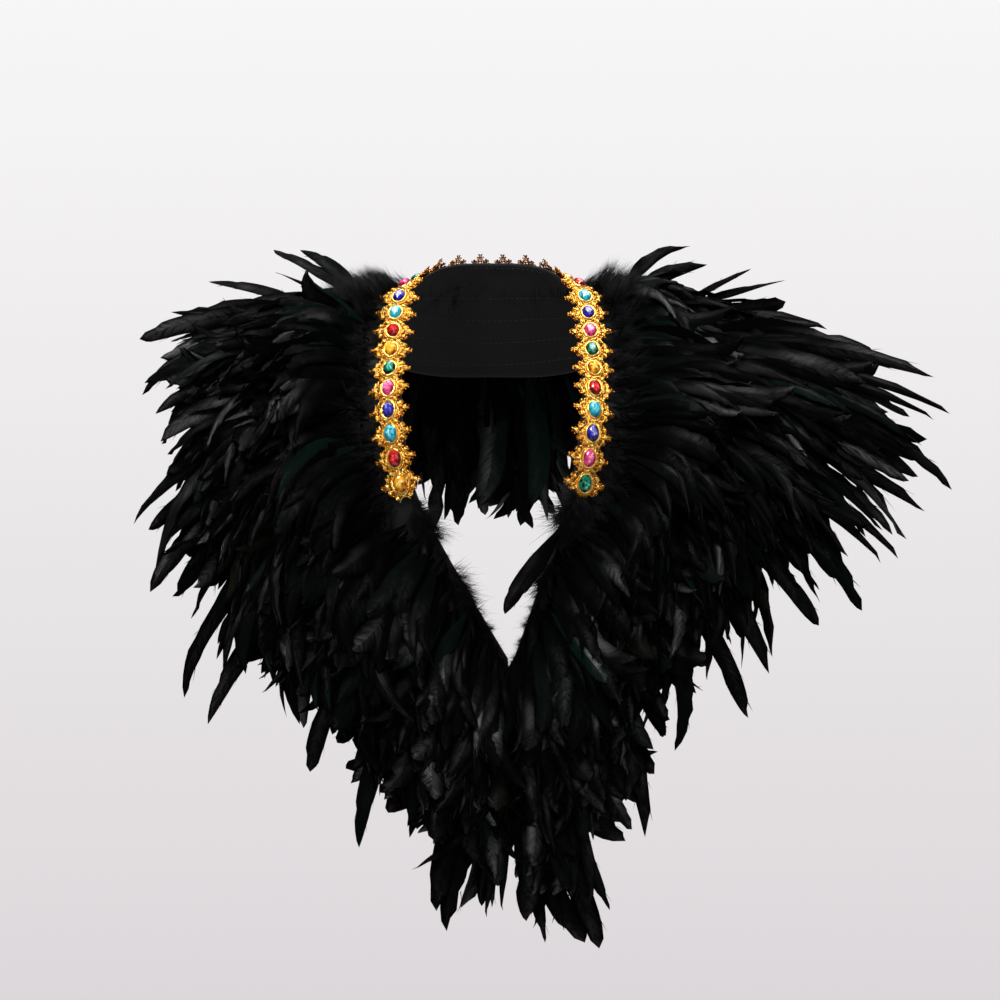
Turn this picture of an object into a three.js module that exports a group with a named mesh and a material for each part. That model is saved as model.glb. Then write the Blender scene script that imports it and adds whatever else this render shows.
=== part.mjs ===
// Feather shawl: a shaped black cloth yoke that goes round the back of the neck and down both
// sides of the chest to a V at the waist, four rows of black cock feathers sewn along it, and
// a gold braid with thirty faceted oval stones along the neckline.
//
// Millimetres, +Z up, +X to the wearer's left, -Y to the front. The origin is the middle of the
// neck opening, level with the place where the yoke lies against the sides of the neck.
import * as THREE from 'three';

// Driving dimensions
const clothThickness = 2;
const pieceGap = 0.6; // clearance between pieces that lie on each other

const featherRows = 4;
const firstRowFromNeck = 37; // from the neck edge to the innermost row of feathers, beside the braid
const firstRowBelowBraid = 6; // and where the braid has ended
const firstRowChange = 60; // the length of neckline between the two
const rowSpacing = 26;
const rowRise = 11; // each row lies this much above the next one out
const rowTapeWidth = 10;
const rowTapeThickness = 2;
const locksPerRow = 50;
// A lock between its root and its tip: at shares of its length, half its width as a share of the
// spacing of the locks, and half its thickness.
const lockBelly = { at: 0.4, halfWidth: 0.46, halfThickness: 2.7 };
const lockTaper = { at: 0.74, halfWidth: 0.3, halfThickness: 1.8 };

const braidFromNeck = 12.5; // from the neck edge to the middle of the braid
const braidThickness = 1.6;
const braidWaist = 12; // half width between two motifs
const braidLobe = 21.5; // half width at the points of a motif
const stoneCount = 30;
const stonePitch = 26.5;
const stoneWidth = 13;
const stoneLength = 18;
const stoneGirdle = 1.4;
const stoneHeight = 4.6;
const stoneTable = 0.58; // the table's size as a share of the stone's
const stoneSides = 10;
const settingRim = 1.7; // how far the raised setting shows round a stone
const settingHeight = 1.4; // above the braid
const settingStart = 0.2; // where a setting starts, as a share of its motif's length

const hookLength = 22;
const hookWidth = 7;
const hookThickness = 1.5;
const hookFromPoint = 12; // from the point of the V down to the middle of the hook
const hookGap = 1;

// One row for each section, from the nape round to the front point of the wearer's left side, which
// is at +X. neck is on the neck edge and edge on the outer edge of the yoke. Both are mirrored for the
// other side and then moved by sway, because the point of the V hangs a little to the wearer's left.
// tipLeft and tipRight are where the longest feathers of the section end on the +X and the -X
// side: those on the -X side are combed in closer.
const sections = [
  { at: 'nape', sway: 0, neck: [0, 54, 6], edge: [0, 108, -116],
    tipLeft: [0, 190, -300], tipRight: [0, 190, -300] },
  { at: 'nape side', sway: 0, neck: [30, 48, 5], edge: [70, 104, -114],
    tipLeft: [114, 210, -284], tipRight: [-108, 208, -284] },
  { at: 'back', sway: 0, neck: [54, 34, 0], edge: [128, 86, -98],
    tipLeft: [232, 206, -192], tipRight: [-212, 204, -190] },
  { at: 'neck side', sway: 0, neck: [71, 13, -10], edge: [178, 46, -68],
    tipLeft: [330, 140, -40], tipRight: [-300, 140, -30] },
  { at: 'shoulder', sway: 0, neck: [84, -11, -26], edge: [206, -12, -52],
    tipLeft: [376, 10, -66], tipRight: [-340, 10, -50] },
  { at: 'shoulder front', sway: 0, neck: [91, -44, -58], edge: [217, -64, -88],
    tipLeft: [450, -82, -136], tipRight: [-366, -88, -116] },
  { at: 'collarbone', sway: 0, neck: [94, -83, -104], edge: [216, -97, -142],
    tipLeft: [464, -134, -224], tipRight: [-358, -142, -196] },
  { at: 'chest', sway: 0, neck: [95, -116, -143], edge: [210, -116, -200],
    tipLeft: [410, -160, -310], tipRight: [-352, -168, -280] },
  { at: 'bust', sway: 0, neck: [91, -138, -188], edge: [196, -128, -262],
    tipLeft: [322, -178, -400], tipRight: [-322, -180, -392] },
  { at: 'braid end', sway: 2, neck: [78, -148, -253], edge: [158, -138, -352],
    tipLeft: [214, -186, -494], tipRight: [-238, -186, -480] },
  { at: 'waist', sway: 10, neck: [42, -150, -336], edge: [90, -144, -450],
    tipLeft: [150, -186, -606], tipRight: [-114, -186, -584] },
  { at: 'front point', sway: 20, neck: [4, -150, -418], edge: [7, -144, -544],
    tipLeft: [92, -184, -754], tipRight: [-40, -182, -708] },
];

// How long the locks of each row are, from the innermost row out, as a share of the way from their
// root to the section's tip, and how one lock differs from the next.
const rowReach = [0.56, 0.68, 0.84, 1];
const lockLengths = [1, 0.88, 0.95, 0.8, 0.98, 0.86, 0.93];
const lockSways = [0.1, -0.16, 0.05, 0.2, -0.08, -0.2, 0.14];

const stoneColours = ['green', 'pink', 'blue', 'turquoise', 'red', 'amber']; // from the +X end on

const materials = {
  cloth: new THREE.MeshStandardMaterial({ color: 0x0b0b0c, roughness: 0.85 }),
  feather: new THREE.MeshStandardMaterial({ color: 0x0a0c0c, roughness: 0.45 }),
  braid: new THREE.MeshStandardMaterial({ color: 0xd69a26, roughness: 0.35, metalness: 0.9 }),
  hook: new THREE.MeshStandardMaterial({ color: 0x1c1c1e, roughness: 0.4, metalness: 1 }),
  amber: new THREE.MeshStandardMaterial({ color: 0xe8940c, roughness: 0.08 }),
  red: new THREE.MeshStandardMaterial({ color: 0xc4121c, roughness: 0.08 }),
  turquoise: new THREE.MeshStandardMaterial({ color: 0x2fb4cc, roughness: 0.08 }),
  blue: new THREE.MeshStandardMaterial({ color: 0x2c22a0, roughness: 0.08 }),
  pink: new THREE.MeshStandardMaterial({ color: 0xe0357e, roughness: 0.08 }),
  green: new THREE.MeshStandardMaterial({ color: 0x06735a, roughness: 0.08 }),
};

// The surface of the shawl

// A curve through one point of each section, from the front point at +X round the nape to the one at -X.
function sectionCurve(leftPoint, rightPoint) {
  const leftSide = sections.slice(1).reverse().map(leftPoint);
  const points = [...leftSide, ...sections.map(rightPoint)].map((p) => new THREE.Vector3(...p));
  return new THREE.CatmullRomCurve3(points, false, 'catmullrom', 0.5);
}

const swayed = (side, column) => (row) => [side * row[column][0] + row.sway, row[column][1], row[column][2]];
const neckCurve = sectionCurve(swayed(1, 'neck'), swayed(-1, 'neck'));
const edgeCurve = sectionCurve(swayed(1, 'edge'), swayed(-1, 'edge'));
const tipCurve = sectionCurve((row) => row.tipLeft, (row) => row.tipRight);

// The lengths of the yoke and of the feathers beyond it, at a share of the way along the neckline.
function reachAt(along) {
  const neck = neckCurve.getPoint(along);
  const edge = edgeCurve.getPoint(along);
  const tip = tipCurve.getPoint(along);
  const yokeWidth = neck.distanceTo(edge);
  return { neck, edge, tip, yokeWidth, full: yokeWidth + edge.distanceTo(tip) };
}

// A point of the sheet that the yoke and the feathers follow: a parabola from the neck edge through the
// yoke's outer edge to the feathers' tips. out is the distance from the neck edge.
function sheetPoint(along, out) {
  const { neck, edge, tip, yokeWidth, full } = reachAt(along);
  const neckShare = ((out - yokeWidth) * (out - full)) / (yokeWidth * full);
  const edgeShare = (out * (out - full)) / (yokeWidth * (yokeWidth - full));
  const tipShare = (out * (out - yokeWidth)) / (full * (full - yokeWidth));
  return new THREE.Vector3()
    .addScaledVector(neck, neckShare)
    .addScaledVector(edge, edgeShare)
    .addScaledVector(tip, tipShare);
}

const alongStep = 0.004; // the share of the neckline over which its direction is measured

function sheetNormal(along, out) {
  const before = Math.max(0, along - alongStep);
  const after = Math.min(1, along + alongStep);
  const lengthways = sheetPoint(after, out).sub(sheetPoint(before, out));
  const outwards = sheetPoint(along, out + 1).sub(sheetPoint(along, out - 1));
  return outwards.cross(lengthways).normalize();
}

// A point at a height above the yoke's outer face.
function raised(along, out, height) {
  return sheetPoint(along, out).addScaledVector(sheetNormal(along, out), height);
}

// Closed meshes

class Skin {
  constructor() {
    this.points = [];
    this.faces = [];
  }

  point(p) {
    this.points.push(p.x, p.y, p.z);
    return this.points.length / 3 - 1;
  }

  // A face with its corners in anticlockwise order as seen from outside.
  face(...corners) {
    for (let i = 1; i + 1 < corners.length; i++) this.faces.push(corners[0], corners[i], corners[i + 1]);
  }

  // A four-cornered face of the shawl's +X half, split from its first corner. Faces of the other half are
  // split from the second, as their mirror image.
  quad(isLeft, a, b, c, d) {
    if (isLeft) this.face(a, b, c, d);
    else this.face(b, c, d, a);
  }

  geometry() {
    const made = new THREE.BufferGeometry();
    made.setAttribute('position', new THREE.Float32BufferAttribute(this.points, 3));
    made.setIndex(this.faces);
    made.computeVertexNormals();
    return made;
  }
}

// A wall over a grid of stations along the neckline and places across it. upper and lower give the points
// of its two faces.
function wallGeometry(stations, places, upper, lower) {
  const skin = new Skin();
  const grid = (pointAt) => Array.from({ length: stations }, (_, i) =>
    Array.from({ length: places }, (_, j) => skin.point(pointAt(i, j))));
  const top = grid(upper);
  const bottom = grid(lower);
  const last = stations - 1;
  const rim = places - 1;
  for (let i = 0; i < last; i++) {
    const isLeft = i < last / 2;
    for (let j = 0; j < rim; j++) {
      skin.quad(isLeft, top[i][j], top[i][j + 1], top[i + 1][j + 1], top[i + 1][j]);
      skin.quad(isLeft, bottom[i][j], bottom[i + 1][j], bottom[i + 1][j + 1], bottom[i][j + 1]);
    }
    skin.face(top[i][0], top[i + 1][0], bottom[i + 1][0], bottom[i][0]);
    skin.face(top[i][rim], bottom[i][rim], bottom[i + 1][rim], top[i + 1][rim]);
  }
  for (let j = 0; j < rim; j++) {
    skin.face(top[0][j], bottom[0][j], bottom[0][j + 1], top[0][j + 1]);
    skin.face(top[last][j], top[last][j + 1], bottom[last][j + 1], bottom[last][j]);
  }
  return skin.geometry();
}

// Cloth yoke

function yokeGeometry() {
  const places = 9;
  const faceAt = (level) => (i, j) => {
    const along = i / locksPerRow;
    return raised(along, (reachAt(along).yokeWidth * j) / (places - 1), level);
  };
  return wallGeometry(locksPerRow + 1, places, faceAt(0), faceAt(-clothThickness));
}

// Gold braid

// Places along the middle of the braid, by the length of braid from the nape.
const braidSamples = 600;
const braidLengths = [0];
for (let i = 1; i <= braidSamples; i++) {
  const here = sheetPoint(i / braidSamples, braidFromNeck);
  const before = sheetPoint((i - 1) / braidSamples, braidFromNeck);
  braidLengths.push(braidLengths[i - 1] + here.distanceTo(before));
}
const napeLength = braidLengths[braidSamples / 2];

function alongAtLength(fromNape) {
  const length = napeLength + fromNape;
  const next = Math.max(1, braidLengths.findIndex((sampled) => sampled >= length));
  const share = (length - braidLengths[next - 1]) / (braidLengths[next] - braidLengths[next - 1]);
  return (next - 1 + share) / braidSamples;
}

const settingHalfWidth = stoneWidth / 2 + settingRim;
const settingTop = pieceGap + braidThickness + settingHeight;
const stoneFromNape = (index) => (index - (stoneCount - 1) / 2) * stonePitch;

// One motif of the braid: half its width, and the height of its raised middle, at shares of its length.
const motif = [
  { share: 0, halfWidth: braidWaist, middle: 0 },
  { share: 0.14, halfWidth: braidWaist + 2.5, middle: 0 },
  { share: settingStart, halfWidth: braidWaist + 1.5, middle: settingHeight },
  { share: 0.5, halfWidth: braidLobe, middle: settingHeight },
  { share: 1 - settingStart, halfWidth: braidWaist + 1.5, middle: settingHeight },
  { share: 0.86, halfWidth: braidWaist + 2.5, middle: 0 },
];

function braidGeometry() {
  const stations = stoneCount * motif.length + 1;
  const rowOf = (i) => motif[i % motif.length];
  const acrossOf = (row) => [-row.halfWidth, -settingHalfWidth, settingHalfWidth, row.halfWidth];
  const alongOf = (i) => {
    const inMotif = Math.floor(i / motif.length) + rowOf(i).share - stoneCount / 2;
    return alongAtLength(inMotif * stonePitch);
  };
  const pointAt = (i, j, level) => raised(alongOf(i), braidFromNeck + acrossOf(rowOf(i))[j], level);
  const isMiddle = (j) => j === 1 || j === 2;
  const upper = (i, j) => pointAt(i, j, pieceGap + braidThickness + (isMiddle(j) ? rowOf(i).middle : 0));
  const lower = (i, j) => pointAt(i, j, pieceGap);
  return wallGeometry(stations, 4, upper, lower);
}

// A faceted oval stone with a flat back: girdle, crown facets and table.
function stoneGeometry() {
  const profile = [[0, 0], [0.5, 0], [0.5, stoneGirdle], [stoneTable / 2, stoneHeight], [0, stoneHeight]];
  const turned = new THREE.LatheGeometry(profile.map(([x, y]) => new THREE.Vector2(x, y)), stoneSides);
  return turned.scale(stoneWidth, 1, stoneLength);
}

// Sets a stone on its setting, its length along the braid and its table away from the cloth, as low as
// its flat back clears the setting.
function placeStone(mesh, index) {
  const along = alongAtLength(stoneFromNape(index));
  const up = sheetNormal(along, braidFromNeck);
  const ahead = sheetPoint(along + alongStep, braidFromNeck);
  ahead.sub(sheetPoint(along - alongStep, braidFromNeck));
  const across = new THREE.Vector3().crossVectors(up, ahead).normalize();
  const lengthways = new THREE.Vector3().crossVectors(across, up);
  const middle = sheetPoint(along, braidFromNeck);
  let seat = 0;
  for (const share of [settingStart - 0.5, 0, 0.5 - settingStart]) {
    const beside = alongAtLength(stoneFromNape(index) + share * stonePitch);
    for (const side of [-settingHalfWidth, settingHalfWidth]) {
      const corner = raised(beside, braidFromNeck + side, settingTop);
      seat = Math.max(seat, corner.sub(middle).dot(up) + pieceGap);
    }
  }
  mesh.quaternion.setFromRotationMatrix(new THREE.Matrix4().makeBasis(across, up, lengthways));
  mesh.position.copy(middle.addScaledVector(up, seat));
}

// Feather rows

// From the neck edge to the root of a row. The innermost row closes up to the edge below the braid's ends.
function rowRoot(row, along) {
  if (row > 0) return firstRowFromNeck + row * rowSpacing;
  const fromNape = Math.abs(braidLengths[Math.round(along * braidSamples)] - napeLength);
  const braidEnd = (stoneCount * stonePitch) / 2;
  const below = THREE.MathUtils.smoothstep(fromNape, braidEnd, braidEnd + firstRowChange);
  return THREE.MathUtils.lerp(firstRowFromNeck, firstRowBelowBraid, below);
}

// The height of the middle of a row above the yoke: it climbs over each row that lies under it.
function rowHeight(row, along, out) {
  const steps = THREE.MathUtils.clamp((out - rowRoot(row, along)) / rowSpacing, 0, featherRows - row);
  return pieceGap + rowTapeThickness / 2 + steps * rowRise;
}

// A sewn row of feathers: a tape with pointed locks fused along its outer edge.
function featherRowGeometry(row) {
  const skin = new Skin();
  const at = (along, out, height) => skin.point(raised(along, out, height));

  const tape = [];
  for (let i = 0; i <= locksPerRow; i++) {
    const along = i / locksPerRow;
    const root = rowRoot(row, along);
    const tapeFront = root + rowTapeWidth;
    const low = pieceGap;
    const high = pieceGap + rowTapeThickness;
    const lift = rowHeight(row, along, tapeFront) - rowHeight(row, along, root);
    tape.push({
      backTop: at(along, root, high),
      backBottom: at(along, root, low),
      frontTop: at(along, tapeFront, high + lift),
      frontBottom: at(along, tapeFront, low + lift),
    });
  }

  for (let i = 0; i < locksPerRow; i++) {
    const here = tape[i];
    const next = tape[i + 1];
    const isLeft = i < locksPerRow / 2;
    skin.quad(isLeft, here.backTop, here.frontTop, next.frontTop, next.backTop);
    skin.quad(isLeft, here.backBottom, next.backBottom, next.frontBottom, here.frontBottom);
    skin.face(here.backTop, next.backTop, next.backBottom, here.backBottom);

    const middle = (i + 0.5) / locksPerRow;
    const root = rowRoot(row, middle);
    const tapeFront = root + rowTapeWidth;
    const kind = (i + 3 * row) % lockLengths.length;
    const longest = (reachAt(middle).full - root) * rowReach[row];
    const length = longest * lockLengths[kind] - rowTapeWidth;
    // Four points round the lock at one place of its length: its two edges, top and bottom.
    const ring = (part) => {
      const out = tapeFront + part.at * length;
      const height = rowHeight(row, middle, out);
      const side = (offset) => middle + (offset + lockSways[kind] * part.at ** 2) / locksPerRow;
      return {
        near: at(side(-part.halfWidth), out, height),
        far: at(side(part.halfWidth), out, height),
        top: at(side(0), out, height + part.halfThickness),
        bottom: at(side(0), out, height - part.halfThickness),
      };
    };
    const belly = ring(lockBelly);
    const taper = ring(lockTaper);
    const tipOut = tapeFront + length;
    const tip = at(middle + lockSways[kind] / locksPerRow, tipOut, rowHeight(row, middle, tipOut));

    skin.face(here.frontTop, belly.near, belly.top);
    skin.face(here.frontTop, belly.top, next.frontTop);
    skin.face(next.frontTop, belly.top, belly.far);
    skin.face(here.frontBottom, belly.bottom, belly.near);
    skin.face(here.frontBottom, next.frontBottom, belly.bottom);
    skin.face(next.frontBottom, belly.far, belly.bottom);
    skin.face(here.frontTop, here.frontBottom, belly.near);
    skin.face(next.frontTop, belly.far, next.frontBottom);
    skin.face(belly.near, taper.near, taper.top, belly.top);
    skin.face(belly.top, taper.top, taper.far, belly.far);
    skin.face(belly.near, belly.bottom, taper.bottom, taper.near);
    skin.face(belly.bottom, belly.far, taper.far, taper.bottom);
    skin.face(taper.near, tip, taper.top);
    skin.face(taper.top, tip, taper.far);
    skin.face(taper.near, taper.bottom, tip);
    skin.face(taper.bottom, taper.far, tip);
  }

  const first = tape[0];
  const last = tape[locksPerRow];
  skin.face(first.backTop, first.backBottom, first.frontBottom, first.frontTop);
  skin.face(last.backTop, last.frontTop, last.frontBottom, last.backBottom);
  return skin.geometry();
}

// Front hook, across the inside of the two ends of the yoke just below the point of the V
function makeHook() {
  const hook = new THREE.Mesh(new THREE.BoxGeometry(hookLength, hookThickness, hookWidth), materials.hook);
  hook.name = 'front_hook';
  const middle = raised(0, hookFromPoint, 0).add(raised(1, hookFromPoint, 0)).multiplyScalar(0.5);
  let clothBack = -Infinity;
  for (let step = 0; step <= 6; step++) {
    for (const along of [step * alongStep, 1 - step * alongStep]) {
      for (const out of [hookFromPoint - hookWidth, hookFromPoint, hookFromPoint + hookWidth]) {
        clothBack = Math.max(clothBack, raised(along, out, -clothThickness).y);
      }
    }
  }
  hook.position.set(middle.x, clothBack + hookGap + hookThickness / 2, middle.z);
  return hook;
}

// Assembly

const shawl = new THREE.Group();

function addPiece(name, geometry, material) {
  const mesh = new THREE.Mesh(geometry, material);
  mesh.name = name;
  shawl.add(mesh);
  return mesh;
}

addPiece('yoke', yokeGeometry(), materials.cloth);
addPiece('gold_braid', braidGeometry(), materials.braid);
for (let i = 0; i < stoneCount; i++) {
  const colour = stoneColours[i % stoneColours.length];
  const number = String(i + 1).padStart(2, '0');
  placeStone(addPiece(`stone_${number}_${colour}`, stoneGeometry(), materials[colour]), i);
}
for (let row = 0; row < featherRows; row++) {
  addPiece(`feather_row_${row + 1}`, featherRowGeometry(row), materials.feather);
}
shawl.add(makeHook());

export default shawl;
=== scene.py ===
# Black cock feather shawl: cloth yoke, four sewn rows of feathers, gold braid and thirty stones
import bpy
import numpy as np
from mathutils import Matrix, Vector


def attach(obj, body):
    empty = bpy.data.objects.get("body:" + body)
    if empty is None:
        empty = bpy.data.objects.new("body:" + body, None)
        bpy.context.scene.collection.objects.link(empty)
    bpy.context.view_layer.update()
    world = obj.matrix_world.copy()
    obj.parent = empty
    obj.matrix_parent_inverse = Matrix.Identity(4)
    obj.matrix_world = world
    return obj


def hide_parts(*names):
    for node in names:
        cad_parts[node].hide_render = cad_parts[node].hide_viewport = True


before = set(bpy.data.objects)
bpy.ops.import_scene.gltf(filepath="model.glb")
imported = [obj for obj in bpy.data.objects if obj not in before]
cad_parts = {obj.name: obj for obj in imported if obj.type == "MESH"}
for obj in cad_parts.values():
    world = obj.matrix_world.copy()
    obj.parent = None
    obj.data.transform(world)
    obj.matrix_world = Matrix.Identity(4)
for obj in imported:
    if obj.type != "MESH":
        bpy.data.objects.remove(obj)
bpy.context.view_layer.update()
scene = bpy.context.scene
scene.view_settings.view_transform = "Standard"
mm = 0.001
print("frame loaded:", len(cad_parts), "nodes")


# Small helpers

def linear(hexColour):  # sRGB hex to linear RGBA
    channels = [int(hexColour[i:i + 2], 16) / 255 for i in (1, 3, 5)]
    return [c / 12.92 if c <= 0.04045 else ((c + 0.055) / 1.055) ** 2.4 for c in channels] + [1]


def smooth(low, high, value):  # 0 at low, 1 at high, with soft ends
    t = np.clip((value - low) / (high - low), 0, 1)
    return t * t * (3 - 2 * t)


def unit(vectors):
    return vectors / np.linalg.norm(vectors, axis=-1, keepdims=True)


def around(count):  # equal angles round a full turn
    return np.linspace(0, 2 * np.pi, count, endpoint=False)


# Quads between closed rings of points, one ring after the other; a loop joins the last to the first
def ringFaces(rings, sides, isLoop=False):
    faces = []
    for i in range(rings if isLoop else rings - 1):
        j = (i + 1) % rings
        for k in range(sides):
            m = (k + 1) % sides
            faces.append((i * sides + k, i * sides + m, j * sides + m, j * sides + k))
    return faces


# Links sockets, and nodes by their first output, and sets every other value
def feed(tree, node, inputs):
    for socket, value in inputs.items():
        if isinstance(value, bpy.types.Node):
            value = value.outputs[0]
        if isinstance(value, bpy.types.NodeSocket):
            tree.links.new(value, node.inputs[socket])
        else:
            node.inputs[socket].default_value = value


# Stops are the places and colours of a ramp, from low to high
def addNode(tree, kind, inputs=None, stops=(), **settings):
    node = tree.nodes.new(kind)
    for name, value in settings.items():
        setattr(node, name, value)
    feed(tree, node, inputs or {})
    if stops:
        ramp = node.color_ramp.elements
        ramp[0].position, ramp[1].position = stops[0][0], stops[-1][0]
        for place, colour in stops[1:-1]:
            ramp.new(place)
        for element, (place, colour) in zip(ramp, stops):
            element.color = linear(colour)
    return node


def newMaterial(name):
    material = bpy.data.materials.new(name)
    material.use_nodes = True
    return material, material.node_tree, material.node_tree.nodes["Principled BSDF"]


def newObject(name, data, collection=None):
    made = bpy.data.objects.new(name, data)
    (collection or scene.collection).objects.link(made)
    return made


# One mesh from points and faces, with a UV for each point or each face corner and named point attributes
def makeMesh(name, points, faces, uvs=None, isSmooth=True, **attributes):
    mesh = bpy.data.meshes.new(name)
    mesh.from_pydata([tuple(p) for p in points], [], [tuple(f) for f in faces])
    mesh.polygons.foreach_set("use_smooth", [isSmooth] * len(mesh.polygons))
    if uvs is not None:
        uvs = np.asarray(uvs, np.float32)
        if len(uvs) == len(points):
            corners = np.zeros(len(mesh.loops), np.int32)
            mesh.loops.foreach_get("vertex_index", corners)
            uvs = uvs[corners]
        mesh.uv_layers.new(name="UVMap").data.foreach_set("uv", uvs.ravel())
    addAttributes(mesh, attributes)
    mesh.update()
    return mesh


def addAttributes(mesh, attributes):
    for name, values in attributes.items():
        values = np.asarray(values)
        if values.ndim == 2:
            kind, field = "FLOAT_VECTOR", "vector"
        elif values.dtype.kind == "i":
            kind, field = "INT", "value"
        else:
            kind, field = "FLOAT", "value"
        flat = values.astype(np.int32 if kind == "INT" else np.float32).ravel()
        mesh.attributes.new(name, kind, "POINT").data.foreach_set(field, flat)


# Bare points that a node tree puts things on, with what it reads as attributes
def makePoints(name, places, **attributes):
    mesh = bpy.data.meshes.new(name)
    mesh.vertices.add(len(places))
    mesh.vertices.foreach_set("co", np.asarray(places, np.float32).ravel())
    addAttributes(mesh, attributes)
    return newObject(name, mesh)


def newTree(name, sockets):
    tree = bpy.data.node_groups.new(name, "GeometryNodeTree")
    tree.interface.new_socket("Geometry", in_out="OUTPUT", socket_type="NodeSocketGeometry")
    for socket, kind in {"Geometry": "Geometry", **sockets}.items():
        tree.interface.new_socket(socket, in_out="INPUT", socket_type="NodeSocket" + kind)
    return tree, tree.nodes.new("NodeGroupInput").outputs


# Runs a node tree on an object and leaves its result there as a plain mesh
def runTree(piece, tree, values):
    modifier = piece.modifiers.new(tree.name, "NODES")
    modifier.node_group = tree
    for item in tree.interface.items_tree:
        if item.in_out == "INPUT" and item.name in values:
            modifier[item.identifier] = values[item.name]
    bpy.context.view_layer.update()
    evaluated = piece.evaluated_get(bpy.context.evaluated_depsgraph_get())
    mesh = bpy.data.meshes.new_from_object(evaluated)
    piece.modifiers.clear()
    piece.data = mesh
    mesh.name = piece.name
    print(piece.name, "has", sum(len(p.vertices) - 2 for p in mesh.polygons), "triangles")
    return piece


# Every piece rides on the one body, and the solids that it stands for are hidden
def seat(piece, slot, *nodes):
    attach(piece, "root")
    if nodes:
        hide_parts(*nodes)


# The sheet that the yoke and the feathers follow, as in the solids, in mm
# columns: sway, neck edge, yoke edge, feather tips on the wearer's left and right
sheetSections = [
    (0, (0, 54, 6), (0, 108, -116), (0, 190, -300), (0, 190, -300)),  # nape
    (0, (30, 48, 5), (70, 104, -114), (114, 210, -284), (-108, 208, -284)),
    (0, (54, 34, 0), (128, 86, -98), (232, 206, -192), (-212, 204, -190)),
    (0, (71, 13, -10), (178, 46, -68), (330, 140, -40), (-300, 140, -30)),
    (0, (84, -11, -26), (206, -12, -52), (376, 10, -66), (-340, 10, -50)),  # shoulder
    (0, (91, -44, -58), (217, -64, -88), (450, -82, -136), (-366, -88, -116)),
    (0, (94, -83, -104), (216, -97, -142), (464, -134, -224), (-358, -142, -196)),
    (0, (95, -116, -143), (210, -116, -200), (410, -160, -310), (-352, -168, -280)),  # chest
    (0, (91, -138, -188), (196, -128, -262), (322, -178, -400), (-322, -180, -392)),
    (2, (78, -148, -253), (158, -138, -352), (214, -186, -494), (-238, -186, -480)),
    (10, (42, -150, -336), (90, -144, -450), (150, -186, -606), (-114, -186, -584)),
    (20, (4, -150, -418), (7, -144, -544), (92, -184, -754), (-40, -182, -708)),  # point of the V
]


def railPoints(column):
    side = lambda row, sign: (sign * row[column][0] + row[0], row[column][1], row[column][2])
    left = [side(row, 1) for row in sheetSections[:0:-1]]
    return np.array(left + [side(row, -1) for row in sheetSections], float) * mm


neckRail, edgeRail = railPoints(1), railPoints(2)
tipRail = np.array([row[3] for row in sheetSections[:0:-1]] + [row[4] for row in sheetSections], float) * mm


# A smooth curve through the points of a rail, at shares of its length
def onRail(rail, share):
    ends = 2 * rail[[0, -1]] - rail[[1, -2]]
    points = np.vstack([ends[:1], rail, ends[1:]])
    place = np.clip(share, 0, 1) * (len(rail) - 1)
    first = np.minimum(place.astype(int), len(rail) - 2)
    t = (place - first)[:, None]
    p0, p1, p2, p3 = (points[first + k] for k in range(4))
    v1, v2 = (p2 - p0) / 2, (p3 - p1) / 2
    return (2 * p1 - 2 * p2 + v1 + v2) * t ** 3 + (3 * p2 - 3 * p1 - 2 * v1 - v2) * t ** 2 + v1 * t + p1


def reach(along):  # points on the three rails, the yoke's width and the length to the feathers' tips
    neck, edge, tip = (onRail(rail, along) for rail in (neckRail, edgeRail, tipRail))
    width = np.linalg.norm(edge - neck, axis=1)
    return neck, edge, tip, width, width + np.linalg.norm(tip - edge, axis=1)


# Place, slope and bow of the sheet: out is the distance from the neck edge, and each line of it a parabola
def sheetAt(along, out):
    neck, edge, tip, width, full = reach(along)
    out = out * np.ones_like(along)
    column = lambda a, b, c: a[:, None] * neck + b[:, None] * edge + c[:, None] * tip
    scales = (width * full, width * (width - full), full * (full - width))
    place = column((out - width) * (out - full) / scales[0], out * (out - full) / scales[1],
                   out * (out - width) / scales[2])
    slope = column((2 * out - width - full) / scales[0], (2 * out - full) / scales[1],
                   (2 * out - width) / scales[2])
    bow = column(*(1 / scale for scale in scales))
    return place, slope, bow


def sheetNormal(along, out):
    step = 0.004
    ahead = sheetAt(np.minimum(along + step, 1), out)[0] - sheetAt(np.maximum(along - step, 0), out)[0]
    return unit(np.cross(sheetAt(along, out)[1], ahead))


fineAlong = np.linspace(0, 1, 1201)


def lengthsAt(out):  # running length along the sheet at that distance from the neck edge
    steps = np.diff(sheetAt(fineAlong, out)[0], axis=0)
    return np.concatenate([[0], np.cumsum(np.linalg.norm(steps, axis=1))])


# Camera, light and floor

view = {"distance": 3.2, "centreX": 0.0086, "centreZ": -0.254, "width": 1.08, "sensor": 36}
# horizon is the height over which the room turns from low to high, asLight its strength as a light
studio = {"floorHeight": -1.4, "floorRadius": 2.6, "floorSides": 64, "floor": "#E9E7E8",
          "high": "#F8F7F8", "low": "#DCD7DA", "horizon": 0.17, "asLight": 0.22}
# name, place, what it points at, size in m, power in W
lights = [("key", (-1.0, -1.3, 2.5), (0, -0.1, -0.2), 0.9, 110),
          ("fill", (1.6, -2.8, 1.6), (0, -0.1, -0.2), 2.0, 32),
          ("top", (0.2, 0.3, 2.0), (0, 0, -0.1), 1.4, 55)]


def setCamera():
    camera = newObject("camera", bpy.data.cameras.new("camera"))
    camera.location = (view["centreX"], -view["distance"], view["centreZ"])
    camera.rotation_euler = (np.pi / 2, 0, 0)
    camera.data.sensor_width = view["sensor"]
    camera.data.lens = view["sensor"] * view["distance"] / view["width"]
    scene.camera = camera


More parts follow.
